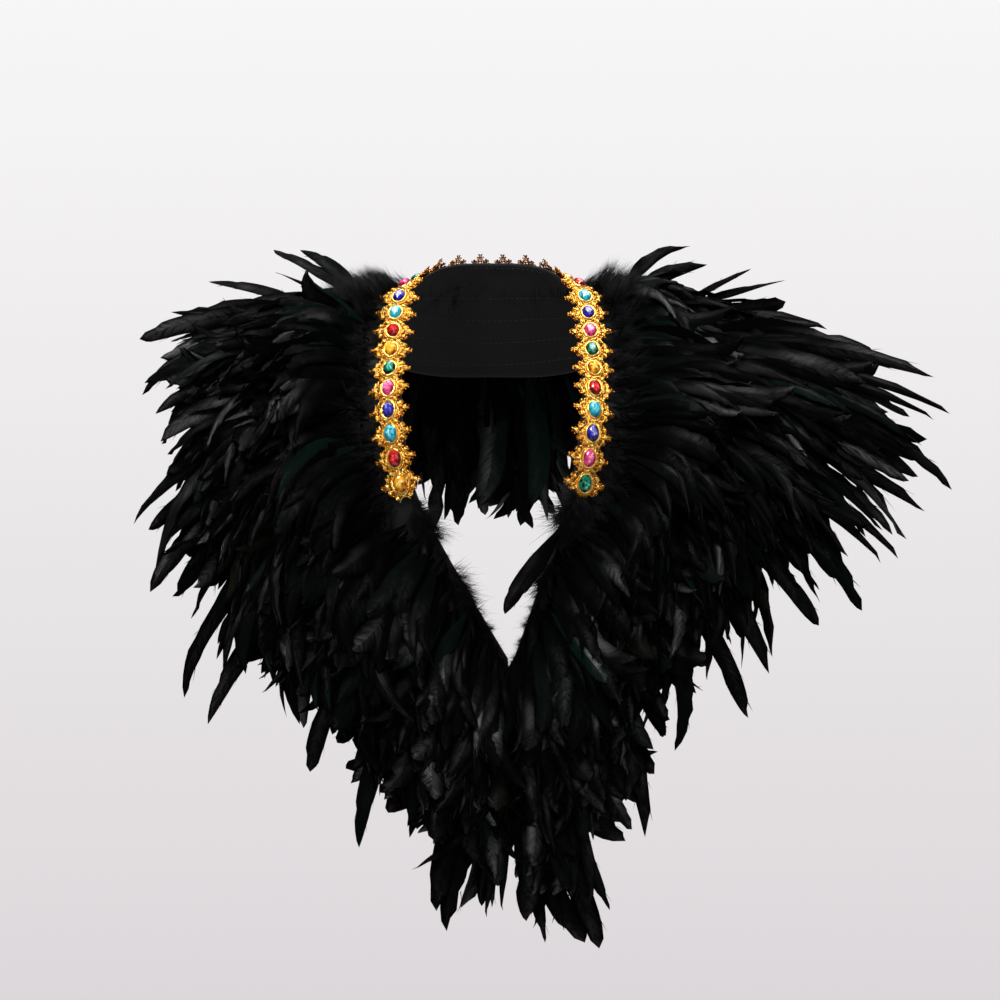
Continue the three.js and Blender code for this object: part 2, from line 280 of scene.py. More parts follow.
def addLight(name, place, aim, size, power):
    light = newObject(name, bpy.data.lights.new(name, "AREA"))
    light.data.size = size
    light.data.energy = power
    light.location = place
    light.rotation_euler = (Vector(aim) - Vector(place)).to_track_quat("-Z", "Y").to_euler()


def setRoom():
    world = bpy.data.worlds.new("pale_studio")
    world.use_nodes = True
    scene.world = world
    tree = world.node_tree
    direction = addNode(tree, "ShaderNodeTexCoord").outputs["Generated"]
    height = addNode(tree, "ShaderNodeSeparateXYZ", {"Vector": direction}).outputs["Z"]
    share = addNode(tree, "ShaderNodeMapRange", {"Value": height, "From Min": -studio["horizon"],
                                                 "From Max": studio["horizon"]})
    tone = addNode(tree, "ShaderNodeMix", {"Factor": share, 6: linear(studio["low"]),
                                           7: linear(studio["high"])}, data_type="RGBA")
    seen = addNode(tree, "ShaderNodeLightPath").outputs["Is Camera Ray"]
    power = addNode(tree, "ShaderNodeMapRange", {"Value": seen, "To Min": studio["asLight"], "To Max": 1.0})
    feed(tree, tree.nodes["Background"], {"Color": tone.outputs[2], "Strength": power})


def makeFloor():
    radius, turn = studio["floorRadius"], around(studio["floorSides"])
    rim = [(radius * np.cos(a), radius * np.sin(a), studio["floorHeight"]) for a in turn]
    floor = newObject("floor", makeMesh("floor", rim, [range(len(rim))]))
    material, tree, shader = newMaterial("matt_white_floor")
    feed(tree, shader, {"Base Color": linear(studio["floor"]), "Roughness": 0.8})
    floor.data.materials.append(material)


setCamera()
setRoom()
for light in lights:
    addLight(*light)
makeFloor()
print("camera and studio set")


# Feathers

# Each kind is a vane with a ridge under its shaft, or several narrow vanes where it has split. Tip is where
# it starts to narrow and the two powers of its rounding. Width, lean (sideways), hook (sideways at the tip)
# and curl (off the surface) are shares of half the feather's width, and turn is its twist at the tip.
# Blades are (middle, half width, length), ragged is how deep the rims are torn near the tip, and loose is
# the number of barbs that stand off them. Each kind has a twin that leans the other way.
featherKinds = {
    "strap": {"tip": (0.80, 2.6, 0.5), "lean": 0.6, "hook": 0.8, "turn": 0.3, "loose": 4},
    "strapTorn": {"tip": (0.78, 2.2, 0.5), "ragged": 0.5, "hook": 2.0, "loose": 6},
    "strapLoose": {"tip": (0.72, 2.0, 0.6), "ragged": 0.35, "lean": 1.2, "loose": 8},
    "leaf": {"tip": (0.60, 1.9, 0.65), "width": 1.15, "lean": 0.6, "hook": 1.2, "loose": 6},
    "sickle": {"tip": (0.58, 1.7, 0.7), "lean": 1.4, "hook": 2.6, "turn": -0.5},
    "hanging": {"tip": (0.70, 2.0, 0.55), "lean": 0.4, "hook": 3.4, "turn": 0.3, "loose": 4},
    "lance": {"tip": (0.50, 1.6, 0.8), "width": 0.9, "turn": 0.7},
    "lanceTorn": {"tip": (0.52, 1.6, 0.7), "ragged": 0.4, "lean": 1.2, "loose": 6},
    "forked": {"tip": (0.64, 1.8, 0.6), "hook": 1.6, "blades": [(-0.40, 0.58, 1.0), (0.42, 0.56, 0.93)]},
    "frayed": {"tip": (0.56, 1.5, 0.8), "lean": 1.0,
               "blades": [(-0.60, 0.36, 0.88), (-0.1, 0.42, 1.0), (0.50, 0.36, 0.94)]},
    "needle": {"tip": (0.30, 1.3, 0.9), "width": 0.45, "lean": 1.5, "loose": 6},
    "bareShaft": {"tip": (0.15, 1.0, 1.0), "width": 0.16, "lean": 1.6, "hook": 2.0},
    "curledUp": {"tip": (0.74, 1.9, 0.6), "ragged": 0.3, "curl": 0.7, "turn": 0.4},
    "curledUnder": {"tip": (0.76, 2.0, 0.5), "curl": -3.2, "lean": 1.0, "hook": 1.5},
}
# widens is where the vane grows from the quill to its full width
vane = {"stations": (0, 0.07, 0.18, 0.32, 0.46, 0.58, 0.66, 0.72, 0.78, 0.83, 0.88, 0.93, 0.975),
        "bladeStations": (0, 0.18, 0.42, 0.62, 0.76, 0.87, 0.965), "bladeSplay": 0.5, "tipLength": 1.005,
        "quill": 0.10, "widens": (0.02, 0.50), "camber": 0.24, "thickness": 0.07, "thinnest": 0.3,
        "ragged": 0.12, "raggedFrom": 0.6, "tears": 0.3, "tearDepth": (0.4, 1.0), "slant": 0.015}
# loose barbs: from, to, foot, span and length are shares of the feather's length, the rest of half its width
barbs = {"from": 0.4, "to": 0.95, "foot": 0.008, "depth": 0.05, "span": 0.05, "spread": 0.3,
         "spreadRange": (0.4, 1.2), "length": 0.05, "lengthRange": (0.6, 1.3), "rise": 0.3}


# Four lines of points along a blade: left rim, shaft, right rim and ridge. Torn barbs leave some points of
# the rims short of the vane's width and drawn back to the root.
def bladeLines(kind, middle, half, length, v, hand, random):
    rise = vane["quill"] + (1 - vane["quill"]) * smooth(*vane["widens"], v)
    tipFrom, tipRound, tipPower = kind["tip"]
    past = np.clip((v - tipFrom) / (1 - tipFrom), 0, 1)
    wide = half * kind.get("width", 1) * rise * (1 - past ** tipRound) ** tipPower
    sway = middle * rise * (1 + vane["bladeSplay"] * v ** 2)
    sway = sway + kind.get("lean", 0) * v ** 2 + kind.get("hook", 0) * v ** 5
    shaft = np.stack([hand * sway, v * length, kind.get("curl", 0) * v ** 4], 1)
    angle = hand * kind.get("turn", 0) * v ** 2
    sideways = np.stack([np.cos(angle), 0 * v, np.sin(angle)], 1)
    up = np.stack([-np.sin(angle), 0 * v, np.cos(angle)], 1)
    drop = up * (vane["camber"] * wide)[:, None]
    rims = []
    for sign in (-1, 1):
        isShort = (v > vane["raggedFrom"]) & (random.uniform(0, 1, len(v)) < vane["tears"])
        depth = kind.get("ragged", vane["ragged"]) * random.uniform(*vane["tearDepth"], len(v))
        rim = shaft + sign * sideways * np.where(isShort, wide * (1 - depth), wide)[:, None] - drop
        rim[:, 1] -= np.where(isShort, vane["slant"], 0)
        rims.append(rim)
    ridge = shaft - up * (vane["thickness"] * (vane["thinnest"] + rise))[:, None]
    return np.stack([rims[0], shaft, rims[1], ridge], 1)


# Corners and faces of a single barb, rooted on a rim and leaning to the tip
def looseBarb(at, rim, v, lines, random):
    onLine = lambda line, place: np.array([np.interp(place, v, lines[:, line, axis]) for axis in range(3)])
    foot, footEnd = onLine(rim, at), onLine(rim, at + barbs["foot"])
    onward = (onLine(1, at + barbs["span"]) - onLine(1, at - barbs["span"])) / (2 * barbs["span"])
    away = (rim - 1) * barbs["spread"] * random.uniform(*barbs["spreadRange"])
    tip = footEnd + onward * barbs["length"] * random.uniform(*barbs["lengthRange"])
    tip = tip + (away, 0, random.uniform(-barbs["rise"], barbs["rise"]))
    under = foot - (0, 0, barbs["depth"])
    sides = [(0, 1, 3), (1, 2, 3), (2, 0, 3), (0, 2, 1)]
    if np.cross(footEnd - foot, under - foot) @ (tip - foot) < 0:  # so that they look outwards
        sides = [side[::-1] for side in sides]
    return [foot, footEnd, under, tip], sides


def featherMesh(name, kind, hand, random):  # hand 1 leans to +X, -1 to -X
    points, faces, uvs, along, lineOf = [], [], [], [], []
    v = np.array(vane["bladeStations" if "blades" in kind else "stations"])
    for middle, half, length in kind.get("blades", [(0, 1, 1)]):
        lines = bladeLines(kind, middle, half, length, v, hand, random)
        start = len(points)
        end = start + 4 * (len(v) - 1)
        tip = 2 * lines[-1, 1] - lines[-2, 1]
        points += [*lines.reshape(-1, 3), (tip[0], length * vane["tipLength"], tip[2])]
        uvs += [(u, place) for place in v for u in (0, 0.5, 1, 0.5)] + [(0.5, 1)]
        along += [*np.repeat(lines[:, 1, 1], 4), length]
        lineOf += [0, 1, 2, 1] * len(v) + [1]
        faces += [tuple(start + corner for corner in face) for face in ringFaces(len(v), 4)]
        faces += [(end + k, end + (k + 1) % 4, end + 4) for k in range(4)]
        faces.append((start + 3, start + 2, start + 1, start))
        for index in range(kind.get("loose", 0)):
            share = (index + random.uniform(0, 1)) / kind["loose"]
            at = barbs["from"] + (barbs["to"] - barbs["from"]) * share
            rim = 0 if index % 2 else 2
            corners, sides = looseBarb(at, rim, v, lines, random)
            faces += [tuple(len(points) + corner for corner in side) for side in sides]
            points += corners
            uvs += [(rim / 2, at)] * 4
            along += [corner[1] for corner in corners]
            lineOf += [1] * 4
    mesh = makeMesh(name, points, faces, uvs, along=along)
    for edge in mesh.edges:  # the two rims of a vane stay crisp
        a, b = edge.vertices
        edge.use_edge_sharp = lineOf[a] == lineOf[b] and lineOf[a] != 1
    return mesh


# Dyed cock feather: smooth keratin barbs side by side in a flat vane. The dye takes nearly all the light,
# so a deep black with slanted streaks of gloss, matt and downy at the root. Here and there a little brown
# of the feather's own, and a little green put in the colour as a painted sheen for its iridescence.
featherLook = {"length": 190, "barbPitch": 2.2, "barbRun": 15}  # mm, barbs drawn coarse to show


def dyedFeather():
    material, tree, shader = newMaterial("dyed_cock_feather")
    uv = addNode(tree, "ShaderNodeUVMap", uv_map="UVMap")
    split = addNode(tree, "ShaderNodeSeparateXYZ", {"Vector": uv})
    tint = addNode(tree, "ShaderNodeAttribute", attribute_name="tint").outputs["Fac"]
    gloss = addNode(tree, "ShaderNodeAttribute", attribute_name="gloss").outputs["Fac"]
    centred = addNode(tree, "ShaderNodeMath", {0: split.outputs["X"], 1: 0.5}, operation="SUBTRACT")
    side = addNode(tree, "ShaderNodeMath", {0: centred}, operation="ABSOLUTE")
    # barbs counted along the vane, which slant from the shaft to the tip
    lengthTurns = featherLook["length"] / featherLook["barbPitch"]
    sideTurns = 2 * featherLook["barbRun"] / featherLook["barbPitch"]
    turns = addNode(tree, "ShaderNodeMath", {0: split.outputs["Y"], 1: lengthTurns}, operation="MULTIPLY")
    barb = addNode(tree, "ShaderNodeMath", {0: side, 1: -sideTurns, 2: turns}, operation="MULTIPLY_ADD")
    streakPlace = addNode(tree, "ShaderNodeCombineXYZ", {"X": barb, "Y": centred, "Z": tint})
    streakScale = addNode(tree, "ShaderNodeVectorMath", {0: streakPlace, 1: (0.6, 2.5, 90)},
                          operation="MULTIPLY")
    streak = addNode(tree, "ShaderNodeTexNoise", {"Vector": streakScale, "Scale": 1, "Detail": 3})
    wave = addNode(tree, "ShaderNodeMath", {0: barb, 1: 2 * np.pi}, operation="MULTIPLY")
    ripple = addNode(tree, "ShaderNodeMath", {0: wave}, operation="SINE")
    height = addNode(tree, "ShaderNodeMath", {0: streak, 1: 3.0, 2: ripple}, operation="MULTIPLY_ADD")
    bump = addNode(tree, "ShaderNodeBump", {"Height": height, "Strength": 0.4, "Distance": 0.3 * mm})
    # the green stops are painted sheen in place of the feather's iridescence; the brown at the end is its
    # own colour
    colour = addNode(tree, "ShaderNodeValToRGB", {"Fac": tint},
                     ((0, "#020202"), (0.45, "#040404"), (0.8, "#050606"), (0.94, "#060A09"),
                      (0.975, "#081612"), (1, "#0C0A07")))
    rough = addNode(tree, "ShaderNodeMapRange", {
        "Value": streak, "From Min": 0.3, "From Max": 0.7, "To Min": 0.26, "To Max": 0.5})
    # gloss by streak, from the downy root to the vane, from the shaft to the rims, and in soft patches
    streaked = addNode(tree, "ShaderNodeMapRange", {
        "Value": streak, "From Min": 0.36, "From Max": 0.66, "To Min": 0.45, "To Max": 1.6})
    vaned = addNode(tree, "ShaderNodeMapRange", {
        "Value": split.outputs["Y"], "From Min": 0.25, "From Max": 0.75, "To Min": 0.05, "To Max": 1.0},
        interpolation_type="SMOOTHSTEP")
    inward = addNode(tree, "ShaderNodeMapRange", {
        "Value": side, "From Min": 0.12, "From Max": 0.5, "To Min": 1.0, "To Max": 0.15},
        interpolation_type="SMOOTHSTEP")
    patchPlace = addNode(tree, "ShaderNodeVectorMath", {0: uv, 1: (0.8, 2.4, 0)}, operation="MULTIPLY")
    patch = addNode(tree, "ShaderNodeTexNoise", {"Vector": patchPlace, "W": tint, "Scale": 1, "Detail": 1},
                    noise_dimensions="4D")
    patched = addNode(tree, "ShaderNodeMapRange", {
        "Value": patch, "From Min": 0.38, "From Max": 0.62, "To Min": 0.15, "To Max": 1.5},
        interpolation_type="SMOOTHSTEP")
    shine = gloss
    for share in (streaked, vaned, inward, patched):
        shine = addNode(tree, "ShaderNodeMath", {0: shine, 1: share}, operation="MULTIPLY")
    feed(tree, shader, {"Base Color": colour, "Roughness": rough, "Specular IOR Level": shine,
                        "Normal": bump})
    return material


rows = {
    "seed": 11, "count": (600, 690, 790, 920), "bunches": (54, 58, 64, 70),
    # roots in mm from the neck edge: beside the braid, and close to the edge below the braid's ends,
    # evenly spaced on a line that lies spacedAt past them
    "firstRoot": 37, "spacing": 26, "rootSpread": (-4, 22), "rootLeast": 3, "rootHeight": 1.6,
    "rootBelowBraid": 6, "rootChange": 60, "braidEnd": 397.5, "braidLine": 12.5, "spacedAt": 60,
    # lengths as shares of the way to the tips, with the shortest in a row and the spread of its bunches
    "reach": (0.56, 0.68, 0.82, 0.95), "shortest": (0.60, 0.64, 0.64, 0.62), "shortBias": 1.5,
    "bunchLength": (0.92, 1.07),
    # half widths in mm
    "width": 10.2, "widthSpread": 0.24, "widthLimits": (5, 15),
    # heights over the sheet in mm, a crown on the shoulders, and a flatter place on each of them:
    # its place from the nape, its width and the share of the height that is taken away
    "rise": 11, "bunchRise": 4, "climbSpread": (-6, 5), "crown": (12, 9, 0, 0), "shoulderAt": 0.16,
    "shoulderWidth": 0.055, "flatLeft": (0.225, 0.05, 0.85), "flatRight": (0.165, 0.06, 0.75),
    # directions in radians and bends as shares of the length; calm is how much less at the points of the V
    "yaw": 0.10, "bunchYaw": 0.13, "gather": 0.55, "twist": 0.32, "curl": (-0.09, 0.02), "sideCurl": 0.13,
    "droop": 0.42, "droopFrom": (0.14, 0.28), "heavy": (0.1, 1.5), "weight": (0.05, 0.03),
    "shoulderFall": 0.09, "hangs": 0.7, "calm": 0.5, "calmFrom": (0.34, 0.44),
    # the way they face, and the depths in mm past which they are pressed back
    "facing": 0.6, "turnFrom": (60, -20), "depthLimits": (-200, 216), "press": 0.3,
    # few are bright, and all of them brighter at the points of the V
    "gloss": (0.033, 0.32), "glossBias": 5, "pointGloss": 0.9, "glossFrom": (0.42, 0.5),
}
# share of the feathers' length that is left, along the sheet from the wearer's left point to the right one
trim = ((0, 0.03, 0.05, 0.08, 0.11, 0.15, 0.27, 0.31, 0.37, 0.42, 0.7, 0.74, 0.8, 0.86, 0.92, 0.96, 1),
        (0.84, 0.84, 0.78, 0.7, 0.78, 0.98, 0.97, 0.77, 0.77, 1, 1, 0.95, 0.95, 1, 0.86, 0.95, 0.86))
# how often each kind comes, on the shoulders and at the points of the V
kindShares = {"strap": (5, 6), "strapTorn": (4, 4), "strapLoose": (3, 2), "leaf": (5, 4), "sickle": (4, 2),
              "hanging": (4.5, 0.8), "lance": (2.5, 5), "lanceTorn": (3, 5), "forked": (2, 2),
              "frayed": (1, 1), "needle": (0.6, 0.8), "bareShaft": (0.25, 0.25), "curledUp": (1.5, 0.6),
              "curledUnder": (1.8, 0.5)}
braidLengths = lengthsAt(rows["braidLine"] * mm)
braidMiddle = np.interp(0.5, fineAlong, braidLengths)


def rowRoot(row, along):
    if row > 0:
        return np.full_like(along, (rows["firstRoot"] + row * rows["spacing"]) * mm)
    fromNape = np.abs(np.interp(along, fineAlong, braidLengths) - braidMiddle)
    below = smooth(rows["braidEnd"] * mm, (rows["braidEnd"] + rows["rootChange"]) * mm, fromNape)
    return (rows["firstRoot"] + (rows["rootBelowBraid"] - rows["firstRoot"]) * below) * mm


def spacedAlong(count, out, random):  # evenly by length along that line, with a little jitter
    lengths = lengthsAt(out)
    places = (np.arange(count) + random.uniform(0, 1, count)) / count * lengths[-1]
    return np.interp(places, lengths, fineAlong)


# Puts a mesh of the collection on each point, and bends it by the square of the way to its tip
def sewOnTree():
    tree, given = newTree("sewn_on", {"Kinds": "Collection", "Bend": "Float", "Finish": "Material"})

    def named(name, kind="FLOAT_VECTOR"):
        return addNode(tree, "GeometryNodeInputNamedAttribute", {"Name": name}, data_type=kind)

    turn = addNode(tree, "FunctionNodeAxesToRotation",
                   {"Primary Axis": named("aim"), "Secondary Axis": named("face")},
                   primary_axis="Y", secondary_axis="Z")
    kinds = addNode(tree, "GeometryNodeCollectionInfo",
                    {"Collection": given["Kinds"], "Separate Children": True, "Reset Children": True})
    placed = addNode(tree, "GeometryNodeInstanceOnPoints", {
        "Points": given["Geometry"], "Instance": kinds, "Pick Instance": True,
        "Instance Index": named("kind", "INT"), "Rotation": turn, "Scale": named("size")})
    real = addNode(tree, "GeometryNodeRealizeInstances", {"Geometry": placed})
    along = named("along", "FLOAT")
    squared = addNode(tree, "ShaderNodeMath", {0: along, 1: along}, operation="MULTIPLY")
    share = addNode(tree, "ShaderNodeMath", {0: squared, 1: given["Bend"]}, operation="MULTIPLY")
    offset = addNode(tree, "ShaderNodeVectorMath", {0: named("bend"), "Scale": share}, operation="SCALE")
    bent = addNode(tree, "GeometryNodeSetPosition", {"Geometry": real, "Offset": offset})
    done = addNode(tree, "GeometryNodeSetMaterial", {"Geometry": bent, "Material": given["Finish"]})
    addNode(tree, "NodeGroupOutput", {"Geometry": done})
    return tree


def makeKinds(name, meshes):
    kinds = bpy.data.collections.new(name)
    for index, mesh in enumerate(meshes):
        newObject(f"{name}_{index:02d}", mesh, kinds)
    return kinds


def turned(vectors, axis, angle):  # each vector about its own axis, by its own angle
    c, s = np.cos(angle)[:, None], np.sin(angle)[:, None]
    kept = axis * np.sum(axis * vectors, 1, keepdims=True)
    return vectors * c + np.cross(axis, vectors) * s + kept * (1 - c)


# The way a vane faces: off the sheet and a little to the front, or behind the wearer a little to the back
def facing(place, normal, aim):
    towards = 1 - 2 * smooth(*(y * mm for y in rows["turnFrom"]), place[:, 1:2])
    wanted = normal + towards * rows["facing"] * np.array([0, 1, 0])
    return unit(wanted - aim * np.sum(aim * wanted, 1, keepdims=True))


# Roots, directions and bends of feathers that follow the sheet and climb to a height above it. With droop
# they start higher within the sheet and come back to their place at the tip, and with weight (two shares
# of the length) they rise and fall.
def layFeathers(random, along, root, length, climb, halfWidth, yaw, twist, curl, sideCurl,
                droop=0.0, weight=(0, 0)):
    count = len(along)
    place, slope, bow = sheetAt(along, root)
    normal = sheetNormal(along, root)
    across = unit(np.cross(slope, normal))
    lift = normal * climb[:, None]
    run = slope * length[:, None] + 2 * lift
    bend = bow * (length ** 2)[:, None] - lift
    bend += normal * (length * random.uniform(*curl, count))[:, None]
    bend += across * (length * random.uniform(-sideCurl, sideCurl, count))[:, None]
    arch = across * (across[:, 2] * length * droop)[:, None]
    onward = unit(slope)
    upward = (np.array([0, 0, 1]) - onward * onward[:, 2:]) * length[:, None]
    rise, fall = (np.reshape(share * np.ones(count), (count, 1)) for share in weight)
    run = run + arch + upward * rise
    bend = bend - arch - upward * (rise + fall)
    run, bend = turned(run, normal, yaw), turned(bend, normal, yaw)
    aim = unit(run)
    face = turned(facing(place, normal, aim), aim, random.normal(0, twist, count))
    size = np.stack([halfWidth, np.linalg.norm(run, axis=1), halfWidth], 1)
    return place + normal * (rows["rootHeight"] * mm), dict(aim=aim, face=face, bend=bend, size=size)


# Presses back what stands out too far to the front or the back
def pressIn(piece):
    points = np.empty(len(piece.data.vertices) * 3, np.float32)
    piece.data.vertices.foreach_get("co", points)
    depth = points[1::3]
    inside = np.clip(depth, *(limit * mm for limit in rows["depthLimits"]))
    points[1::3] = inside + (depth - inside) * rows["press"]
    piece.data.vertices.foreach_set("co", points)
    piece.data.update()


def leansUp(columns):  # where a feather of the first hand would lean upwards
    return np.cross(columns["aim"], columns["face"])[:, 2] > 0


# Meshes by the kinds' shares: hangs is the chance that a feather's lean lets its tip hang down
def pickKinds(random, atPoint, hangs, columns):
    onShoulders, atPoints = np.array(list(kindShares.values()), float).T
    chances = onShoulders + (atPoints - onShoulders) * atPoint[:, None]
    steps = np.cumsum(chances, 1) / chances.sum(1, keepdims=True)
    kind = 2 * np.sum(random.uniform(0, 1, (len(atPoint), 1)) > steps[:, :-1], 1)
    isUp = leansUp(columns)
    return kind + np.where(random.uniform(0, 1, len(atPoint)) < hangs, isUp, ~isUp)


def hangingKinds(names, columns):  # meshes by name, all hanging down
    return 2 * np.array([list(featherKinds).index(name) for name in names]) + leansUp(columns)


def sewFeathers(name, places, columns, kind, tint, gloss):
    piece = makePoints(name, places, kind=kind, tint=tint, gloss=gloss, **columns)
    return runTree(piece, sewOn, {"Kinds": featherMeshes, "Bend": 1.0, "Finish": featherMaterial})


# A row is sewn on in bunches: each leans its own way and its tips gather, which leaves gaps in the outline
def featherRow(row):
    random = np.random.default_rng(rows["seed"] + row)
    count, bunches = rows["count"][row], rows["bunches"][row]
    middle = (rows["firstRoot"] + row * rows["spacing"] + rows["spacedAt"]) * mm
    along = spacedAlong(count, middle, random)
    inBunch = np.arange(count) / count * bunches
    bunch = inBunch.astype(int)
    fromNape = np.abs(along - 0.5)
    onShoulder = np.exp(-((fromNape - rows["shoulderAt"]) / rows["shoulderWidth"]) ** 2)
    atPoint = smooth(*rows["calmFrom"], fromNape)
    calm = 1 - rows["calm"] * atPoint

    root = rowRoot(row, along) + random.uniform(*rows["rootSpread"], count) * mm
    root = np.maximum(root, rows["rootLeast"] * mm)
    shortest = rows["shortest"][row]
    part = shortest + (1 - shortest) * random.uniform(0, 1, count) ** rows["shortBias"]
    part *= random.uniform(*rows["bunchLength"], bunches)[bunch] * rows["reach"][row]
    part *= np.interp(along, *trim)
    length = (reach(along)[4] - root) * part

    climb = (len(rows["count"]) - row) * rows["rise"] + random.normal(0, rows["bunchRise"], bunches)[bunch]
    climb += rows["crown"][row] * onShoulder
    at, wide, share = np.where(along[:, None] < 0.5, rows["flatLeft"], rows["flatRight"]).T
    climb *= 1 - share * np.exp(-((fromNape - at) / wide) ** 2)
    climb = (climb + random.uniform(*rows["climbSpread"], count)) * mm
    halfWidth = random.lognormal(np.log(rows["width"]), rows["widthSpread"], count)
    halfWidth = np.clip(halfWidth, *rows["widthLimits"]) * mm

    spacing = lengthsAt(middle * 2)[-1] / bunches
    yaw = random.normal(0, rows["yaw"], count) + random.normal(0, rows["bunchYaw"], bunches)[bunch]
    yaw = yaw * calm - rows["gather"] * (inBunch - bunch - 0.5) * spacing / length
    heavy = random.uniform(*rows["heavy"], count)
    rise = heavy * rows["weight"][0]
    fall = heavy * (rows["weight"][1] + rows["shoulderFall"] * onShoulder)
    droop = rows["droop"] * smooth(*rows["droopFrom"], fromNape) * heavy * calm
    places, columns = layFeathers(random, along, root, length, climb, halfWidth, yaw, rows["twist"] * calm,
                                  rows["curl"], rows["sideCurl"] * calm, droop, (rise, fall))
    hangs = rows["hangs"] + (1 - rows["hangs"]) * onShoulder
    kind = pickKinds(random, atPoint, hangs, columns)
    tint = random.uniform(0, 1, count)
    gloss = rows["gloss"][0] + rows["gloss"][1] * random.uniform(0, 1, count) ** rows["glossBias"]
    gloss *= 1 + rows["pointGloss"] * smooth(*rows["glossFrom"], fromNape)
    piece = sewFeathers(f"feathers_{row + 1}", places, columns, kind, tint, gloss)
    pressIn(piece)
    seat(piece, "feather_black", f"feather_row_{row + 1}")


kindRandom = np.random.default_rng(rows["seed"])
featherMeshes = makeKinds("feather", [featherMesh(name, kind, hand, kindRandom)
                                      for name, kind in featherKinds.items() for hand in (1, -1)])
sewOn = sewOnTree()
featherMaterial = dyedFeather()
for row in range(len(rows["count"])):
    featherRow(row)
print("feathers sewn")


# Feathers along the V and the longest ones

# Those that fall across the edge into the V: side (1 is the wearer's left), distance below the braid,
# length and half width in mm, lean, kind
edgeFeathers = [(1, 24, 132, 8.5, 1.38, "leaf"), (1, 62, 66, 6.0, 0.9, "sickle"),
                (1, 118, 70, 6.5, 0.6, "lance"), (-1, 34, 58, 6.0, 0.8, "lanceTorn"),
                (-1, 84, 62, 6.5, 0.7, "strap"), (-1, 128, 66, 6.0, 0.6, "sickle"),
                (1, 186, 312, 13, -0.12, "strap"), (1, 170, 290, 11, -0.02, "sickle"),
                (-1, 188, 296, 12, 0.0, "strapTorn"), (-1, 172, 290, 12, -0.02, "strap")]
# those that close the point of the V, on both sides
pointFeathers = {"count": 13, "from": 128, "step": 5, "length": (70, 120), "halfWidth": (6, 9),
                 "lean": (0.15, 0.6), "kinds": ("strap", "lance", "sickle", "strapLoose")}
# and those below it over the slit between the front edges, with roots at distances from its point
slitFeathers = {"count": 11, "from": 500, "roots": (6, 118), "length": (80, 125), "halfWidth": (8, 11),
                "lean": (0.06, 0.24), "kinds": pointFeathers["kinds"]}
edgeLay = {"seed": 5, "root": 5, "climb": (4, 16), "twist": 0.25, "curl": (-0.02, 0.02), "sideCurl": 0.05,
           "tint": (0.2, 0.85), "gloss": (0.03, 0.16)}
# The longest feathers, which give the outline its single tips: x and z of the tip in mm, half width, kind,
# and the root's share of the way out if it isn't the usual one
longFeathers = [
    (187, 36, 8, "sickle", 0.2), (225, 12, 8, "leaf", 0.22), (273, -3, 9, "leaf"),
    (322, -16, 8, "lance"), (339, -62, 9, "hanging"), (425, -98, 10, "strapTorn"),
    (464, -112, 9, "leaf"), (478, -155, 10, "forked"), (482, -206, 10, "hanging"),
    (449, -252, 8, "leaf"), (421, -302, 11, "forked"), (389, -347, 11, "strapTorn"),
    (342, -372, 10, "strap"), (296, -420, 10, "leaf"), (270, -468, 10, "strapLoose"),
    (221, -490, 10, "hanging"), (171, -588, 10, "leaf"), (-238, -7, 7, "lance", 0.3),
    (-342, -53, 8, "strapTorn"), (-229, 22, 9, "strap", 0.25), (-197, 23, 8, "leaf", 0.22),
    (-301, -11, 9, "leaf"), (-373, -70, 11, "strap"), (-369, -108, 10, "hanging"),
    (-352, -150, 9, "leaf"), (-378, -246, 9, "sickle"), (-358, -330, 10, "strapTorn"),
    (-338, -428, 10, "hanging"), (-300, -470, 9, "leaf"), (-197, -523, 10, "strap"),
    (-150, -600, 9, "leaf")]
# behind is the depth in mm past which no tip is looked for
longLay = {"seed": 21, "root": 0.42, "height": 4, "arch": 0.12, "behind": 60, "upward": 0.3, "twist": 0.2,
           "tint": (0, 0.9), "gloss": (0.02, 0.12)}


def besideV(side, distance):  # place along the sheet at that distance below the end of the braid
    return np.interp(braidMiddle - side * (rows["braidEnd"] + distance) * mm, braidLengths, fineAlong)


def makeEdgeFeathers():
    random = np.random.default_rng(edgeLay["seed"])
    drawn = lambda group: ([random.uniform(*group[size]) for size in ("length", "halfWidth", "lean")]
                           + [random.choice(group["kinds"])])
    laid = [(*feather, edgeLay["root"]) for feather in edgeFeathers]
    for index in range(2 * pointFeathers["count"]):
        distance = pointFeathers["from"] + pointFeathers["step"] * (index // 2)
        laid.append((1 if index % 2 else -1, distance, *drawn(pointFeathers), edgeLay["root"]))
    for index in range(2 * slitFeathers["count"]):
        root = np.interp(index, (0, 2 * slitFeathers["count"]), slitFeathers["roots"])
        laid.append((1 if index % 2 else -1, slitFeathers["from"], *drawn(slitFeathers), root))
    side, distance, length, halfWidth, lean = np.array([feather[:5] for feather in laid], float).T
    root = np.array([feather[6] for feather in laid])
    count = len(laid)
    climb = random.uniform(*edgeLay["climb"], count)
    places, columns = layFeathers(random, besideV(side, distance), root * mm, length * mm, climb * mm,
                                  halfWidth * mm, -side * lean, edgeLay["twist"], edgeLay["curl"],
                                  edgeLay["sideCurl"])
    kind = hangingKinds([feather[5] for feather in laid], columns)
    tint = random.uniform(*edgeLay["tint"], count)
    gloss = random.uniform(*edgeLay["gloss"], count)
    piece = sewFeathers("edge_feathers", places, columns, kind, tint, gloss)
    pressIn(piece)
    seat(piece, "feather_black")


